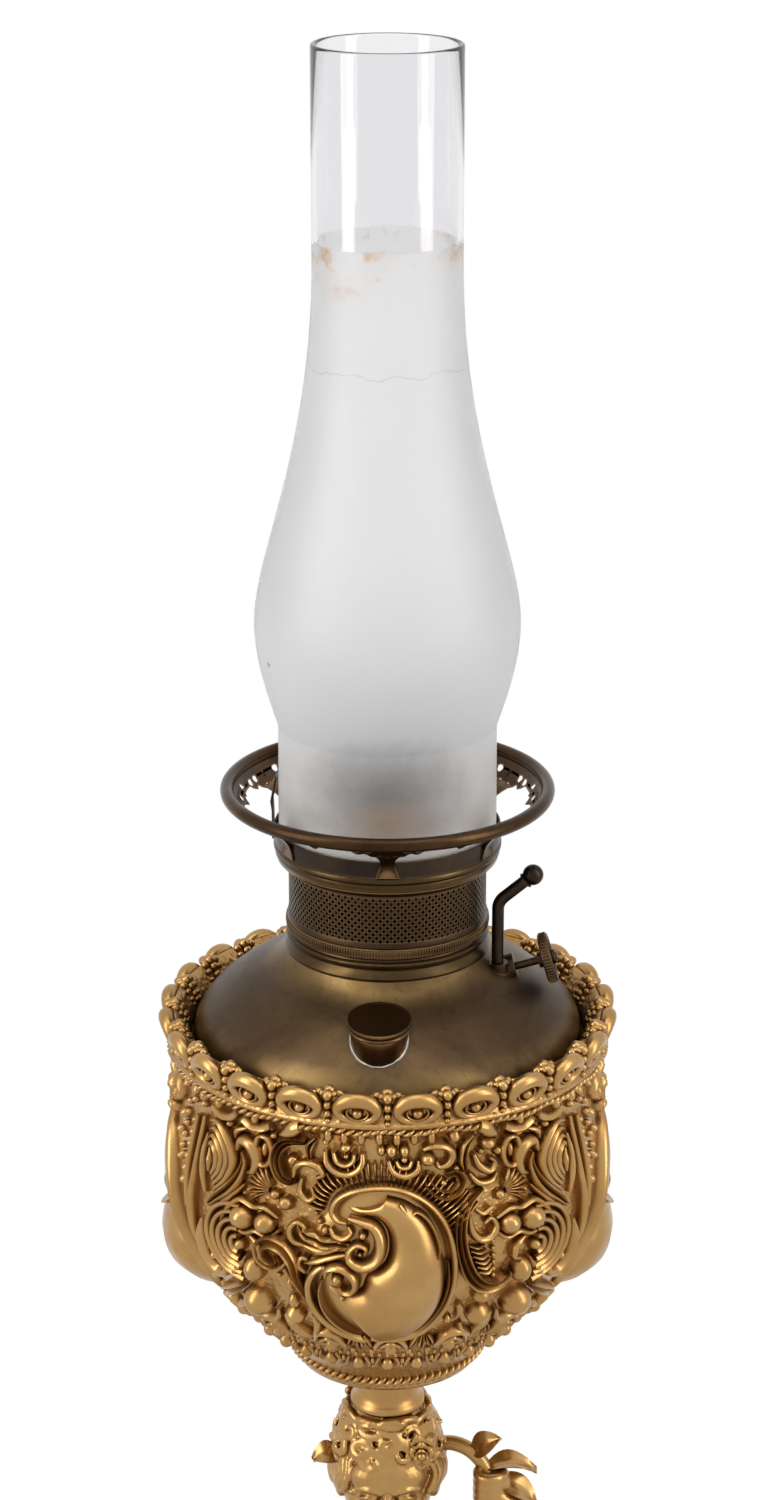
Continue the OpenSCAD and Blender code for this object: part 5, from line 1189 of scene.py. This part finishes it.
stack = [bead(half_step, up, size, tall, lift=0.4)
         for up, size, tall in ((430.6, 1.8, 2.6), (427.6, 1.5, 2.4), (424.9, 1.35, 2.2), (422.6, 1.1, 2.0))]
stack += [bead(half_step + beside_it, 431.0, 1.0, 1.6) for beside_it in (-1.9, 1.9)]
eye_parts += [wrapped(part, crown_face, crown_r, eye_middle) for part in stack]
for far, up, size in ((66.0, 431.2, 1.9), (64.6, 429.4, 1.6), (63.4, 427.0, 1.35), (62.6, 425.2, 1.1)):
    for turn in (-2.6, 0.0, 2.6):
        a = math.radians(2 * eye_middle + turn)
        small = 1 if turn == 0 else 0.72
        high = up - 0.7 * (turn != 0)
        eye_parts.append(ball((far * math.cos(a), far * math.sin(a), high), size * small, 8, 12))
fixed(repeated("crown_eyes", eye_parts, gilt, crown_count), gilt, "stand", (), 55)
twist, twist_count, twist_r = [], 7, 67.3
twist_wall = [(twist_r, 416), (twist_r, 422)]
for k in range(twist_count):
    across = (k - twist_count // 2) * 2 * half_step / twist_count
    dip = 0.55 * math.cos(math.pi * across / half_step)
    turn_of_rope = [(across - 1.7, 418.6 - dip, 0.5, 0.3), (across - 0.5, 419.1 - dip, 0.75, 1.3),
                    (across + 0.6, 419.7 - dip, 0.75, 1.3), (across + 1.7, 420.2 - dip, 0.5, 0.3)]
    twist.append(wrapped(blade(turn_of_rope, "round", 0.3, steps=3), twist_wall, twist_r, eye_middle))
fixed(repeated("crown_twist", twist, gilt, crown_count), gilt, "stand")


# Font: a drawn brass reservoir that drops into the bowl. Its shoulder is
# lacquered brass gone brown, rubbed to gold by the collar and the edge.
def brass_finish(name, dark, mid, bright, rough, rubbed=None):
    """Old lacquered brass: clouds of brown, fine specks, painted shade in the nooks, and edges painted
    bright, partly as rubbed brass and partly as a painted highlight.
    """
    material, tree, skin, place = new_finish(name)
    cloud = noise(tree, place, 24.0, 6.0, Roughness=0.6, Distortion=0.5)
    speck = noise(tree, place, 420.0, 3.0, Roughness=0.7)
    colour = ramp(tree, cloud, [(0.3, dark), (0.52, mid), (0.74, bright)])
    if rubbed:
        flat = wire(tree, "ShaderNodeVectorMath", {0: place, 1: (1, 1, 0)}, operation="MULTIPLY").outputs[0]
        reach = wire(tree, "ShaderNodeVectorMath", {0: flat}, operation="LENGTH").outputs["Value"]
        inner = between(tree, reach, 1.0, 0.0, rubbed[0], rubbed[1])
        outer = between(tree, reach, 0.0, 1.0, rubbed[2], rubbed[3])
        worn = sum_of(tree, "MAXIMUM", inner, outer)
        patchy = between(tree, cloud, 0.1, 0.95, 0.36, 0.62)
        worn = sum_of(tree, "MULTIPLY", worn, patchy)
        colour = blended(tree, worn, colour, (0.215, 0.137, 0.05, 1))
    spots = ramp(tree, speck, [(0.3, (0.55, 0.55, 0.55)), (0.46, (1.0, 1.0, 1.0))])
    colour = blended(tree, 0.45, colour, spots, "MULTIPLY")
    # Painted shade: the occlusion mask darkens the brass in the nooks, where shade falls.
    shade_occlusion = wire(tree, "ShaderNodeAmbientOcclusion", {"Distance": 5 * MM}, samples=6)
    painted_nook_shade = ramp(tree, shade_occlusion.outputs["AO"], [(0.2, (0.3, 0.26, 0.22)), (0.75, (1.0, 1.0, 1.0))])
    colour = blended(tree, 1.0, colour, painted_nook_shade, "MULTIPLY")
    # Edges painted bright: partly brass rubbed bare, partly a painted highlight along each ridge.
    ridge = wire(tree, "ShaderNodeAmbientOcclusion", {"Distance": 0.5 * MM}, samples=6, inside=True)
    worn_and_highlit = between(tree, ridge.outputs["AO"], 0.8, 0.0, 0.45, 0.8)
    colour = blended(tree, worn_and_highlit, colour, tuple(min(1.0, 2.2 * c) for c in bright) + (1,))
    plugged(tree, skin, {
        "Base Color": colour, "Metallic": 1.0,
        "Roughness": between(tree, cloud, rough[1], rough[0], 0.3, 0.7),
        "Normal": bumped(tree, speck, 0.06, 0.2)})
    return material


aged_brass = brass_finish(
    "aged_brass", (0.033, 0.0195, 0.0102), (0.052, 0.031, 0.016), (0.08, 0.048, 0.0235), (0.3, 0.46))
lacquered_brass = brass_finish(
    "lacquered_brass", (0.049, 0.029, 0.0152), (0.078, 0.048, 0.0244), (0.115, 0.071, 0.034), (0.36, 0.5),
    (0.031, 0.039, 0.055, 0.0602))
surfaced(aged_brass, "font_pan", "draft_tube", "outer_wick_tube", "rack_housing", "wick_carrier",
         "knob_shaft")

shoulder_line = np.concatenate([
    [(60.3, 418), (60.3, 421)], bezier((60.3, 424), (59.9, 431), (53, 436.5), (45, 442), 22),
    bezier((45, 442), (38, 446.2), (33.5, 446.6), (31, 453), 18)[1:]])
shoulder = turned(np.concatenate([shoulder_line, [(29, 453)], beside(shoulder_line, 1.0)[::-1]]), 192)
fixed(solid("font_dome", [shoulder]), lacquered_brass, "font", ["font_shoulder"], 40)


# Filler: a brass neck soldered into the shoulder and a drawn cap, its top left
# bare, with a rolled lip; a cork ring seals it.
def leaning(part, origin, axis):
    """A part turned so that its Z axis lies along axis and set on the origin."""
    verts, faces = part
    axis = np.array(axis, float) / np.linalg.norm(axis)
    side = np.cross([0, 1, 0], axis)
    side /= np.linalg.norm(side)
    front = np.cross(axis, side)
    return np.asarray(verts) @ np.array([side, front, axis]) + np.array(origin, float), faces


copper_brass = brass_finish(
    "copper_brass", (0.08, 0.0434, 0.0189), (0.1155, 0.063, 0.0273), (0.168, 0.0966, 0.0392), (0.26, 0.4))
filler_top = (-2.5, -48.0, 447.1)
filler_tilt = math.radians(9)
filler_axis = (0, -math.sin(filler_tilt), math.cos(filler_tilt))
spout_r, seam_r = 8.5, 8.6
neck_part = turned([(6.5, -19), (spout_r, -19), (spout_r, -6.5), (8.65, -5.4), (8.5, -3.8), (6.5, -3.8)], 72)
filler_spout = solid("filler_spout", [leaning(neck_part, filler_top, filler_axis)])
fixed(filler_spout, copper_brass, "font", ["filler_neck"])
tin, tree, skin, place = new_finish("tin_solder")
dull = noise(tree, place, 300.0, 3.0)
plugged(tree, skin, {
    "Base Color": ramp(tree, dull, [(0.35, (0.2, 0.19, 0.17)), (0.65, (0.46, 0.45, 0.42))]),
    "Metallic": 1.0, "Roughness": 0.34})
seam = []
for a in np.linspace(0, 2 * math.pi, 49):
    drop = np.linspace(-19, -3, 65)
    upright = np.stack([np.full(65, seam_r * math.cos(a)), np.full(65, seam_r * math.sin(a)), drop], axis=1)
    line = leaning((upright, []), filler_top, filler_axis)[0]
    above = line[:, 2] - np.interp(-np.hypot(line[:, 0], line[:, 1]), -shoulder_line[:, 0],
                                   shoulder_line[:, 1])
    meets = line[np.argmin(np.abs(above))]
    seam.append((*meets, 0.42))
fixed(solid("filler_solder", [tube(seam, 8)]), tin, "font")
cap_line = [
    (0, -8), (6.2, -8), (6.2, -3.05), (8.9, -3.05), (9.3, -2.9), (9.6, -2.3), (9.4, -1.8), (9.7, -1.3),
    (9.85, -0.7), (9.75, -0.2), (9.4, 0.0), (9.05, -0.02), (8.8, -0.14), (8.4, -0.16), (4, 0.02), (0, 0.06)]
filler_lid = solid("filler_lid", [leaning(turned(cap_line, 96), filler_top, filler_axis)])
fixed(filler_lid, copper_brass, "filler_cap", ["filler_cap"])
cork, tree, skin, place = new_finish("cork")
cells = wire(tree, "ShaderNodeTexVoronoi", {"Vector": place, "Scale": 900.0})
plugged(tree, skin, {
    "Base Color": ramp(tree, cells.outputs["Distance"],
                       [(0.1, (0.2, 0.12, 0.06)), (0.6, (0.46, 0.3, 0.17))]),
    "Roughness": 0.85})
surfaced(cork, "filler_gasket")

# Burner collar: spun brass rings soldered on the font's deck, under a ring with
# a coin edge on which the gallery sits.
rubbed_brass = brass_finish(
    "rubbed_brass", (0.042, 0.0255, 0.0118), (0.069, 0.0427, 0.0184), (0.114, 0.0725, 0.0298), (0.24, 0.38))
collar_line = [
    (31.6, 451.6), (31.9, 452.6), (31.6, 453.6), (30.9, 454.4), (30.5, 455), (30.6, 455.6), (31.2, 456.1),
    (31.3, 456.8), (30.9, 457.3), (30.2, 457.7), (30.0, 458.2), (30.3, 458.7), (30.9, 459.0),
    (30.9, 461.6), (30.5, 461.95), (28.6, 461.95), (28.6, 454.2), (15.7, 454.2), (15.7, 453.02), (30, 453.02),
    (30.6, 451.8)]
fixed(solid("burner_rings", [turned(collar_line, 192)]), rubbed_brass, "font",
      ["burner_collar"], 30)
coin_r, coin_teeth = 30.8, 220
tooth_line = [(0, 459.2, 0.34, 0.35), (0, 460.3, 0.34, 0.5), (0, 461.5, 0.34, 0.35)]
tooth = wrapped(blade(tooth_line, "round", 0.15, steps=1, sunk=0.4), [(coin_r, 459), (coin_r, 462)], coin_r)
fixed(repeated("coin_edge", [tooth], aged_brass, coin_teeth), aged_brass, "font")

# Wick: a woven cotton tube between the two wick tubes, on a brass ring that a
# toothed rod lifts; the rod ends outside in a bent handle with a ball.
cotton, tree, skin, place = new_finish("cotton")
weave = wire(tree, "ShaderNodeTexWave", {"Vector": place, "Scale": 300.0, "Distortion": 0.6},
             bands_direction="Z").outputs["Fac"]
char_from, char_full = 0.488, 0.4915
high = wire(tree, "ShaderNodeSeparateXYZ", {"Vector": place}).outputs["Z"]
burnt = between(tree, high, 0.0, 1.0, char_from, char_full)
thread = ramp(tree, weave, [(0.2, (0.5, 0.46, 0.38)), (0.8, (0.82, 0.78, 0.68))])
plugged(tree, skin, {
    "Base Color": blended(tree, burnt, thread, (0.03, 0.025, 0.02, 1)), "Roughness": 0.9,
    "Normal": bumped(tree, weave, 0.5, 0.3)})
surfaced(cotton, "wick")

dark_brass = brass_finish(
    "dark_brass", (0.022, 0.0156, 0.0117), (0.039, 0.0273, 0.0189), (0.065, 0.0455, 0.0273), (0.26, 0.42))
rod_x, rod_y, bend_z, bend_r = 33.8, -10.0, 466.9, 5.0
turn_end, handle_reach, handle_r = math.radians(50), 11.4, 3.2
tail = np.array((rod_x + bend_r * (1 - math.cos(turn_end)), rod_y, bend_z + bend_r * math.sin(turn_end)))
tail_way = np.array((math.sin(turn_end), 0, math.cos(turn_end)))
ball_place = tail + tail_way * handle_reach
rod_neck = turned([(0, -3.4), (1.9, -3.4), (2.5, -3.1), (2.5, -2.6), (1.9, -2.2), (0, -2.2)], 24)
rod_handle = solid("rod_handle", [ball(ball_place, handle_r, 20, 28),
                                  leaning(rod_neck, ball_place, tail_way)])
surfaced(dark_brass, "wick_rod")
fixed(rod_handle, dark_brass, "wick", ["rod_ball"])

# Wick knob: a small brass wheel with a milled rim on the pinion's shaft, held
# by a round nut.
shaft_tilt = math.radians(16)
shaft_way = (math.cos(shaft_tilt), 0.0, math.sin(shaft_tilt))
shaft_from, knob_reach = np.array((33.8, -5.6, 444.3)), 14.8
knob_place = shaft_from + knob_reach * np.array(shaft_way)
knob_r, knob_ribs = 7.7, 48
knob_part = turned([
    (1.3, -1.5), (2.5, -1.5), (2.6, 0.4), (3.4, 0.8), (6.2, 0.7), (6.9, 0.1), (7.4, 0.0), (knob_r, 0.4),
    (knob_r, 2.6), (7.4, 3.0), (6.8, 2.9), (6.2, 2.3), (4.8, 2.1), (1.3, 2.1)], 64)
knob_parts = [knob_part]
for i in range(knob_ribs):
    a = 2 * math.pi * i / knob_ribs
    milled_rib = [(knob_r * math.cos(a), knob_r * math.sin(a), z, 0.3) for z in (0.45, 1.5, 2.55)]
    knob_parts.append(tube(milled_rib, 6))
milled_knob = solid("milled_knob", [leaning(part, knob_place, shaft_way) for part in knob_parts])
fixed(milled_knob, aged_brass, "wick_knob", ["wick_knob"])
nut_part = turned([(1.3, 2.15), (2.2, 2.15), (2.35, 2.5), (2.3, 3.6), (1.9, 4.1), (1.3, 4.15)], 32)
knob_button = solid("knob_button", [leaning(nut_part, knob_place, shaft_way)])
fixed(knob_button, dark_brass, "wick_knob", ["knob_nut"])

# Gallery: a pierced band with close rows of round holes, under a spun flange
# whose lip holds the foot ring and the glass.
band_r, band_thick = 30.4, 0.7
holes_round, hole_rows = 88, 13
band_low, band_high = 463.9, 478.3
row_step = (band_high - band_low) / hole_rows
half_cell = math.pi * band_r / holes_round
hole_r = 0.56


def pierced_cell():
    """One cell of the band: a skin with a round hole through it, outside and inside."""
    frame_points = [(-1, -1), (0, -1), (1, -1), (1, 0), (1, 1), (0, 1), (-1, 1), (-1, 0)]
    verts, faces = [], []
    for far in (band_r, band_r - band_thick):
        for x, y in frame_points:
            verts.append((far, x * half_cell, band_low + row_step * (0.5 + 0.5 * y)))
        for x, y in frame_points:
            n = math.hypot(x, y)
            verts.append((far, x / n * hole_r, band_low + row_step * 0.5 + y / n * hole_r))
    for skin_side in (0, 16):
        for i in range(8):
            k = (i + 1) % 8
            face = (skin_side + i, skin_side + k, skin_side + 8 + k, skin_side + 8 + i)
            faces.append(face if skin_side == 0 else face[::-1])
    for i in range(8):
        k = (i + 1) % 8
        faces.append((8 + i, 8 + k, 24 + k, 24 + i))
    turned_verts = []
    for far, across, up in verts:
        a = across / band_r
        turned_verts.append((far * math.cos(a), far * math.sin(a), up))
    return np.array(turned_verts), faces


pierced = repeated("pierced_band", [pierced_cell()], aged_brass, holes_round, 0,
                   hole_rows, row_step, math.pi / holes_round, 0.02)
fixed(pierced, aged_brass, "gallery", ["gallery_band"], 50)
band_edges = [turned([(30.45, 462.05), (30.75, 462.3), (30.75, 463.3), (30.45, 463.95), (29.7, 463.95),
                      (29.7, 462.05)], 176),
              turned([(30.45, 478.25), (30.5, 478.9), (29.7, 478.9), (29.7, 478.25)], 176)]
fixed(solid("band_edges", band_edges), aged_brass, "gallery")
flange_line = [
    (28.8, 478.9), (30.6, 478.9), (31.0, 479.2), (31.7, 479.6), (32.6, 480.1), (33.4, 480.8), (34.0, 481.7),
    (34.4, 482.8), (34.55, 483.7), (34.45, 484.1), (34.6, 484.5), (34.9, 484.9), (34.95, 485.6),
    (34.75, 486.2), (34.4, 486.5), (33.95, 486.45), (33.9, 485.9), (33.9, 481.35), (28.8, 481.2)]
fixed(solid("gallery_lip", [turned(flange_line, 192)]), rubbed_brass, "gallery",
      ["gallery_flange"], 32)

# Shade ring: a rolled wire edge with a pierced leaf apron, on six arms rising
# from a foot ring; the brass has gone nearly black.
bronzed_brass = brass_finish(
    "bronzed_brass", (0.0322, 0.0167, 0.0081), (0.0583, 0.0322, 0.0155), (0.0992, 0.057, 0.026),
    (0.22, 0.36))
ring_r, ring_z, roll_r = 48.9, 502.7, 2.1
arms, sheet_thick, apron_r = 6, 0.8, 47.6
apron_half, apron_steps = 180 / arms, 120
roll = turned([(ring_r + roll_r * math.cos(a), ring_z + roll_r * math.sin(a))
               for a in np.linspace(0, 2 * math.pi, 20, endpoint=False)], 180)
foot_ring = turned([(33.92, 486.55), (34.6, 486.55), (34.6, 491.6), (34.3, 491.9), (33.92, 491.7)], 180)


def sheet_patch(grid_out):
    """A sheet from a grid of points, given its thickness towards the axis and closed at its edges."""
    rows, cols = grid_out.shape[:2]
    flat = grid_out.reshape(-1, 3)
    inward = flat * [1, 1, 0]
    inward /= np.linalg.norm(inward, axis=1)[:, None]
    verts = np.concatenate([flat, flat - inward * sheet_thick])
    half = rows * cols
    faces = []
    for i in range(rows - 1):
        for j in range(cols - 1):
            a, b = i * cols + j, i * cols + j + 1
            faces.append((a, b, b + cols, a + cols))
            faces.append((half + a, half + a + cols, half + b + cols, half + b))
    rim = list(range(cols)) + [i * cols + cols - 1 for i in range(1, rows)]
    rim += [(rows - 1) * cols + j for j in range(cols - 2, -1, -1)]
    rim += [i * cols for i in range(rows - 2, 0, -1)]
    for a, b in zip(rim, rim[1:] + rim[:1]):
        faces.append((a, half + a, half + b, b))
    return verts, faces


def on_apron(degrees, drop):
    """A point of the apron at a turn from the arm and a drop below the roll."""
    a = math.radians(degrees)
    far = apron_r - drop
    return (far * math.cos(a), far * math.sin(a), ring_z - 0.8 - drop)


def apron_edge(degrees):
    """Depth of the apron's leafy lower edge, deep at the arm and shallow between."""
    d = abs(degrees)
    deep = 1.7 + 3.7 * max(0.0, 1 - (d / 19.0) ** 2) ** 0.8
    deep += 2.6 * max(0.0, 1 - ((apron_half - d) / 8.0) ** 2)
    return deep + 0.55 * math.cos(math.radians(d * 360 / 6.0))


def apron_strip(top, foot):
    """A strip of the apron between two lines of drop, in three rows."""
    turns = np.linspace(-apron_half, apron_half, apron_steps + 1)
    grid = np.array([[on_apron(t, top(t)) for t in turns],
                     [on_apron(t, 0.5 * (top(t) + foot(t))) for t in turns],
                     [on_apron(t, foot(t)) for t in turns]])
    return sheet_patch(grid)


window_drop, window_up, window_down = 2.5, 0.7, 1.2
windows = ((-apron_half, 2.2), (-12.2, 1.9), (-7.6, 1.9), (7.6, 1.9), (12.2, 1.9), (apron_half, 2.2))


def window_edge(t, reach):
    """Drop of the windows' middle line, moved up or down by reach where a window opens."""
    for middle, half in windows:
        if abs(t - middle) < half:
            return window_drop + reach * math.sqrt(1 - ((t - middle) / half) ** 2)
    return window_drop


def apron_foot(t):
    """Drop of the apron's lower edge, kept clear of the windows."""
    return max(apron_edge(t), window_edge(t, window_down) + 0.5)


apron_parts = [
    apron_strip(lambda t: 0.0, lambda t: min(window_edge(t, -window_up), apron_edge(t) - 0.3)),
    apron_strip(lambda t: min(window_edge(t, window_down), apron_foot(t) - 0.3), apron_foot)]
arm_half, arm_steps = 4.6, 10
arm_line = bezier((35.15, 486.7), (34.9, 491.5), (36.5, 493.5), (42.4, 496.7), arm_steps)
arm_grid = []
for i, (r, z) in enumerate(arm_line):
    flare = 1.25 - 0.5 * math.sin(math.pi * i / arm_steps)
    row = []
    for t in np.linspace(-1, 1, 9):
        a, far = math.radians(arm_half * t * flare), r - 0.25 * (1 - t * t)
        row.append((far * math.cos(a), far * math.sin(a), z))
    arm_grid.append(row)
apron_parts.append(sheet_patch(np.array(arm_grid)))
fixed(solid("shade_roll", [roll]), bronzed_brass, "gallery", ["shade_ring"])
# The foot ring is part of the shade ring's stamping but takes the darker dark_brass: painted shade under the
# roll.
fixed(solid("shade_foot", [foot_ring]), dark_brass, "gallery")
shade_apron = repeated("shade_apron", apron_parts, bronzed_brass, arms, -90)
fixed(shade_apron, bronzed_brass, "gallery", (), 50)
surfaced(dark_brass, "chimney_springs")

# Flame spreader: a pierced brass thimble in the draught tube under a domed
# cap, blackened by the flame.
soot, tree, skin, place = new_finish("sooted_brass")
smoke = noise(tree, place, 140.0, 5.0)
plugged(tree, skin, {
    "Base Color": ramp(tree, smoke, [(0.35, (0.02, 0.017, 0.014)), (0.65, (0.1, 0.07, 0.045))]),
    "Metallic": 0.6, "Roughness": between(tree, smoke, 0.75, 0.5, 0.3, 0.7)})
surfaced(soot, "spreader_thimble", "spreader_cap")

# Chimney: blown glass, clear at the top and acid-frosted below, resting
# inside the flange's lip.
frost_edge, hairline_z = 0.671, 0.6355
low_shade_foot, low_shade_top, milk_foot, milk_top = 0.486, 0.525, 0.515, 0.567


def far_from(tree, place, spot):
    """Distance of the place from a spot."""
    return wire(tree, "ShaderNodeVectorMath", {0: place, 1: spot}, operation="DISTANCE").outputs["Value"]


glass, tree, skin, place = new_finish("chimney_glass")
parted = wire(tree, "ShaderNodeSeparateXYZ", {"Vector": place})
high = parted.outputs["Z"]
waver = noise(tree, place, 60.0, 2.0)
edge_z = sum_of(tree, "ADD", high, between(tree, waver, -0.0006, 0.0006))
frost = between(tree, edge_z, 1.0, 0.0, frost_edge - 0.0005, frost_edge + 0.0005)
stain_noise = noise(tree, place, 95.0, 5.0, Roughness=0.65)
below_edge = between(tree, high, 0.0, 1.0, frost_edge - 0.018, frost_edge - 0.003)
stain_band = sum_of(tree, "MULTIPLY", below_edge, frost)
patches = between(tree, stain_noise, 0.0, 1.0, 0.54, 0.68)
stain = sum_of(tree, "MULTIPLY", stain_band, patches)
# Painted shade: the glass is tinted darker and browner towards its foot, partly a soot film and partly
# painted shade of the burner and spreader inside.
low_shade_haze = between(tree, high, 0.62, 0.0, low_shade_foot, low_shade_top)
tint = blended(tree, frost, (0.872, 0.868, 0.88, 1), (0.952, 0.951, 0.952, 1))
tint = blended(tree, low_shade_haze, tint, (0.74, 0.66, 0.57, 1))
tint = blended(tree, stain, tint, (0.74, 0.46, 0.24, 1))
# Two ragged dark patches on the front of the frosted glass: partly soot, partly painted shade of the dark
# spreader seen through the frost.
ragged = noise(tree, place, 170.0, 7.0, Roughness=0.75)
squat = wire(tree, "ShaderNodeVectorMath", {0: place, 1: (0.62, 0.62, 1.0)}, operation="MULTIPLY").outputs[0]
for soot_shade_spot, soot_shade_reach, soot_shade_tint in (((-0.0003, -0.021, 0.5115), 0.0195, (0.2, 0.19, 0.185, 1)),
                                          ((0.0003, -0.021, 0.502), 0.011, (0.58, 0.42, 0.3, 1))):
    soot_shade_far = sum_of(tree, "ADD", far_from(tree, squat, soot_shade_spot),
                      between(tree, ragged, 0.002, -0.002, 0.3, 0.7))
    tint = blended(tree, between(tree, soot_shade_far, 0.8, 0.0, 0.001, soot_shade_reach), tint, soot_shade_tint)
crack_noise = noise(tree, place, 120.0, 2.0)
crack_z = sum_of(tree, "ADD", high, between(tree, crack_noise, -0.004, 0.004))
crack_gap = sum_of(tree, "SUBTRACT", crack_z, hairline_z)
crack_far = sum_of(tree, "ABSOLUTE", crack_gap)
crack_line = between(tree, crack_far, 0.55, 0.0, 0.0, 0.00028)
front = between(tree, parted.outputs["Y"], 1.0, 0.0, -0.012, -0.006)
crack = sum_of(tree, "MULTIPLY", crack_line, front)
tint = blended(tree, crack, tint, (0.5, 0.44, 0.36, 1))
for speck_place in ((-0.0026, -0.0335, 0.5288), (-0.0352, -0.018, 0.548), (0.0105, -0.0385, 0.566)):
    speck_far = far_from(tree, place, speck_place)
    tint = blended(tree, between(tree, speck_far, 0.9, 0.0, 0.0004, 0.0011), tint, (0.2, 0.13, 0.08, 1))
milk = between(tree, high, 0.6, 0.18, milk_foot, milk_top)
milky = sum_of(tree, "MULTIPLY", frost, milk)
etch = noise(tree, place, 2600.0, 1.0)
etched = sum_of(tree, "MULTIPLY", etch, frost)
plugged(tree, skin, {
    "Base Color": tint, "Roughness": between(tree, frost, 0.0, 0.5), "IOR": 1.46,
    "Transmission Weight": between(tree, milky, 1.0, 0.0), "Normal": bumped(tree, etched, 0.12, 0.1)})
glass_line = np.concatenate([
    [(33.3, 481.05), (33.3, 486), (33.25, 500), (33.1, 524)],
    bezier((33.3, 524.6), (37.6, 537), (40, 547), (40, 556), 26),
    bezier((40, 556), (40, 576), (22, 609), (22, 665), 44)[1:], [(22, 690), (22, 726)]])
rim = [(21.9, 726.7), (21.2, 727), (20.5, 726.7)]
glass_part = turned(np.concatenate([glass_line, rim, beside(glass_line, 1.6)[::-1]]), 160)
fixed(solid("glass_chimney_blown", [glass_part]), glass, "chimney", ["glass_chimney"], 60)


# Stage: a round pale paper floor and a tall sweep behind it, three soft boxes in
# a plain grey surround that is white to the eye, and the photograph's camera.
def seen_as_white(tree):
    """1 for the rays that show the surround itself: from the eye, and by way of metal or glass."""
    ray = wire(tree, "ShaderNodeLightPath").outputs
    seen = sum_of(tree, "MAXIMUM", ray["Is Camera Ray"], ray["Is Glossy Ray"])
    return sum_of(tree, "MAXIMUM", seen, ray["Is Transmission Ray"])


paper, tree, skin, place = new_finish("paper_floor")
fibre = noise(tree, place, 30.0, 3.0)
plugged(tree, skin, {
    "Base Color": ramp(tree, fibre, [(0.3, (0.84, 0.84, 0.84)), (0.7, (0.88, 0.88, 0.88))]),
    "Roughness": 0.9})
glow = wire(tree, "ShaderNodeEmission", {"Color": (1, 1, 1, 1), "Strength": 1.0})
away = wire(tree, "ShaderNodeVectorMath", {0: place}, operation="LENGTH").outputs["Value"]
share = sum_of(tree, "MULTIPLY", seen_as_white(tree), between(tree, away, 0.7, 1.0, 0.2, 0.42))
mix = wire(tree, "ShaderNodeMixShader", {0: share, 1: skin.outputs[0], 2: glow.outputs[0]})
plugged(tree, tree.nodes["Material Output"], {"Surface": mix.outputs[0]})


def paper_sheet(name, points, faces):
    """A sheet of the paper that belongs to the stage."""
    mesh = bpy.data.meshes.new(name)
    mesh.from_pydata(points, [], faces)
    mesh.materials.append(paper)
    sheet = bpy.data.objects.new(name, mesh)
    bpy.context.collection.objects.link(sheet)


floor_r, floor_steps = 0.62, 96
floor_turns = np.linspace(0, 2 * math.pi, floor_steps, endpoint=False)
paper_sheet("floor", [(floor_r * math.cos(a), floor_r * math.sin(a), 0) for a in floor_turns],
            [tuple(range(floor_steps))])
sweep_r, sweep_h, sweep_steps = 5.0, 5.0, 48
sweep_turns = np.linspace(0, math.pi, sweep_steps + 1)
paper_sheet("backdrop",
            [(sweep_r * math.cos(a), sweep_r * math.sin(a), z) for z in (0.0, sweep_h) for a in sweep_turns],
            [(i, i + 1, i + sweep_steps + 2, i + sweep_steps + 1) for i in range(sweep_steps)])

fill_light = 0.31
world = bpy.data.worlds.new("studio")
bpy.context.scene.world = world
world.use_nodes = True
tree = world.node_tree
plugged(tree, tree.nodes["Background"], {
    "Color": (1, 1, 1, 1), "Strength": between(tree, seen_as_white(tree), fill_light, 1.0)})


def softbox(name, place, target, size, power):
    """A soft box at a place, turned to its target."""
    lamp = bpy.data.lights.new(name, "AREA")
    lamp.shape = "RECTANGLE"
    lamp.size, lamp.size_y = size
    lamp.energy = power
    holder = bpy.data.objects.new(name, lamp)
    bpy.context.collection.objects.link(holder)
    way = np.array(target, float) - np.array(place, float)
    flat = math.hypot(way[0], way[1])
    holder.location = place
    holder.rotation_euler = (math.atan2(flat, -way[2]), 0, math.atan2(-way[0], way[1]))


softbox("left_box", (-1.06, -0.56, 0.95), (0, 0, 0.5), (0.5, 1.4), 11)
softbox("right_box", (1.06, -0.56, 0.95), (0, 0, 0.5), (0.5, 1.4), 9)
softbox("top_box", (0, -0.3, 1.9), (0, 0, 0.4), (1.2, 1.0), 7)

focal_length, sensor, eye_place, eye_tilt = 80.95, 36, (0, -0.9641, 0.8602), 70.29
lens = bpy.data.cameras.new("photo_view")
lens.lens = focal_length
lens.sensor_width = lens.sensor_height = sensor
lens.clip_end = 60
camera = bpy.data.objects.new("photo_view", lens)
bpy.context.collection.objects.link(camera)
camera.location = eye_place
camera.rotation_euler = (math.radians(eye_tilt), 0, 0)
bpy.context.scene.camera = camera
bpy.context.scene.view_settings.view_transform = "Standard"
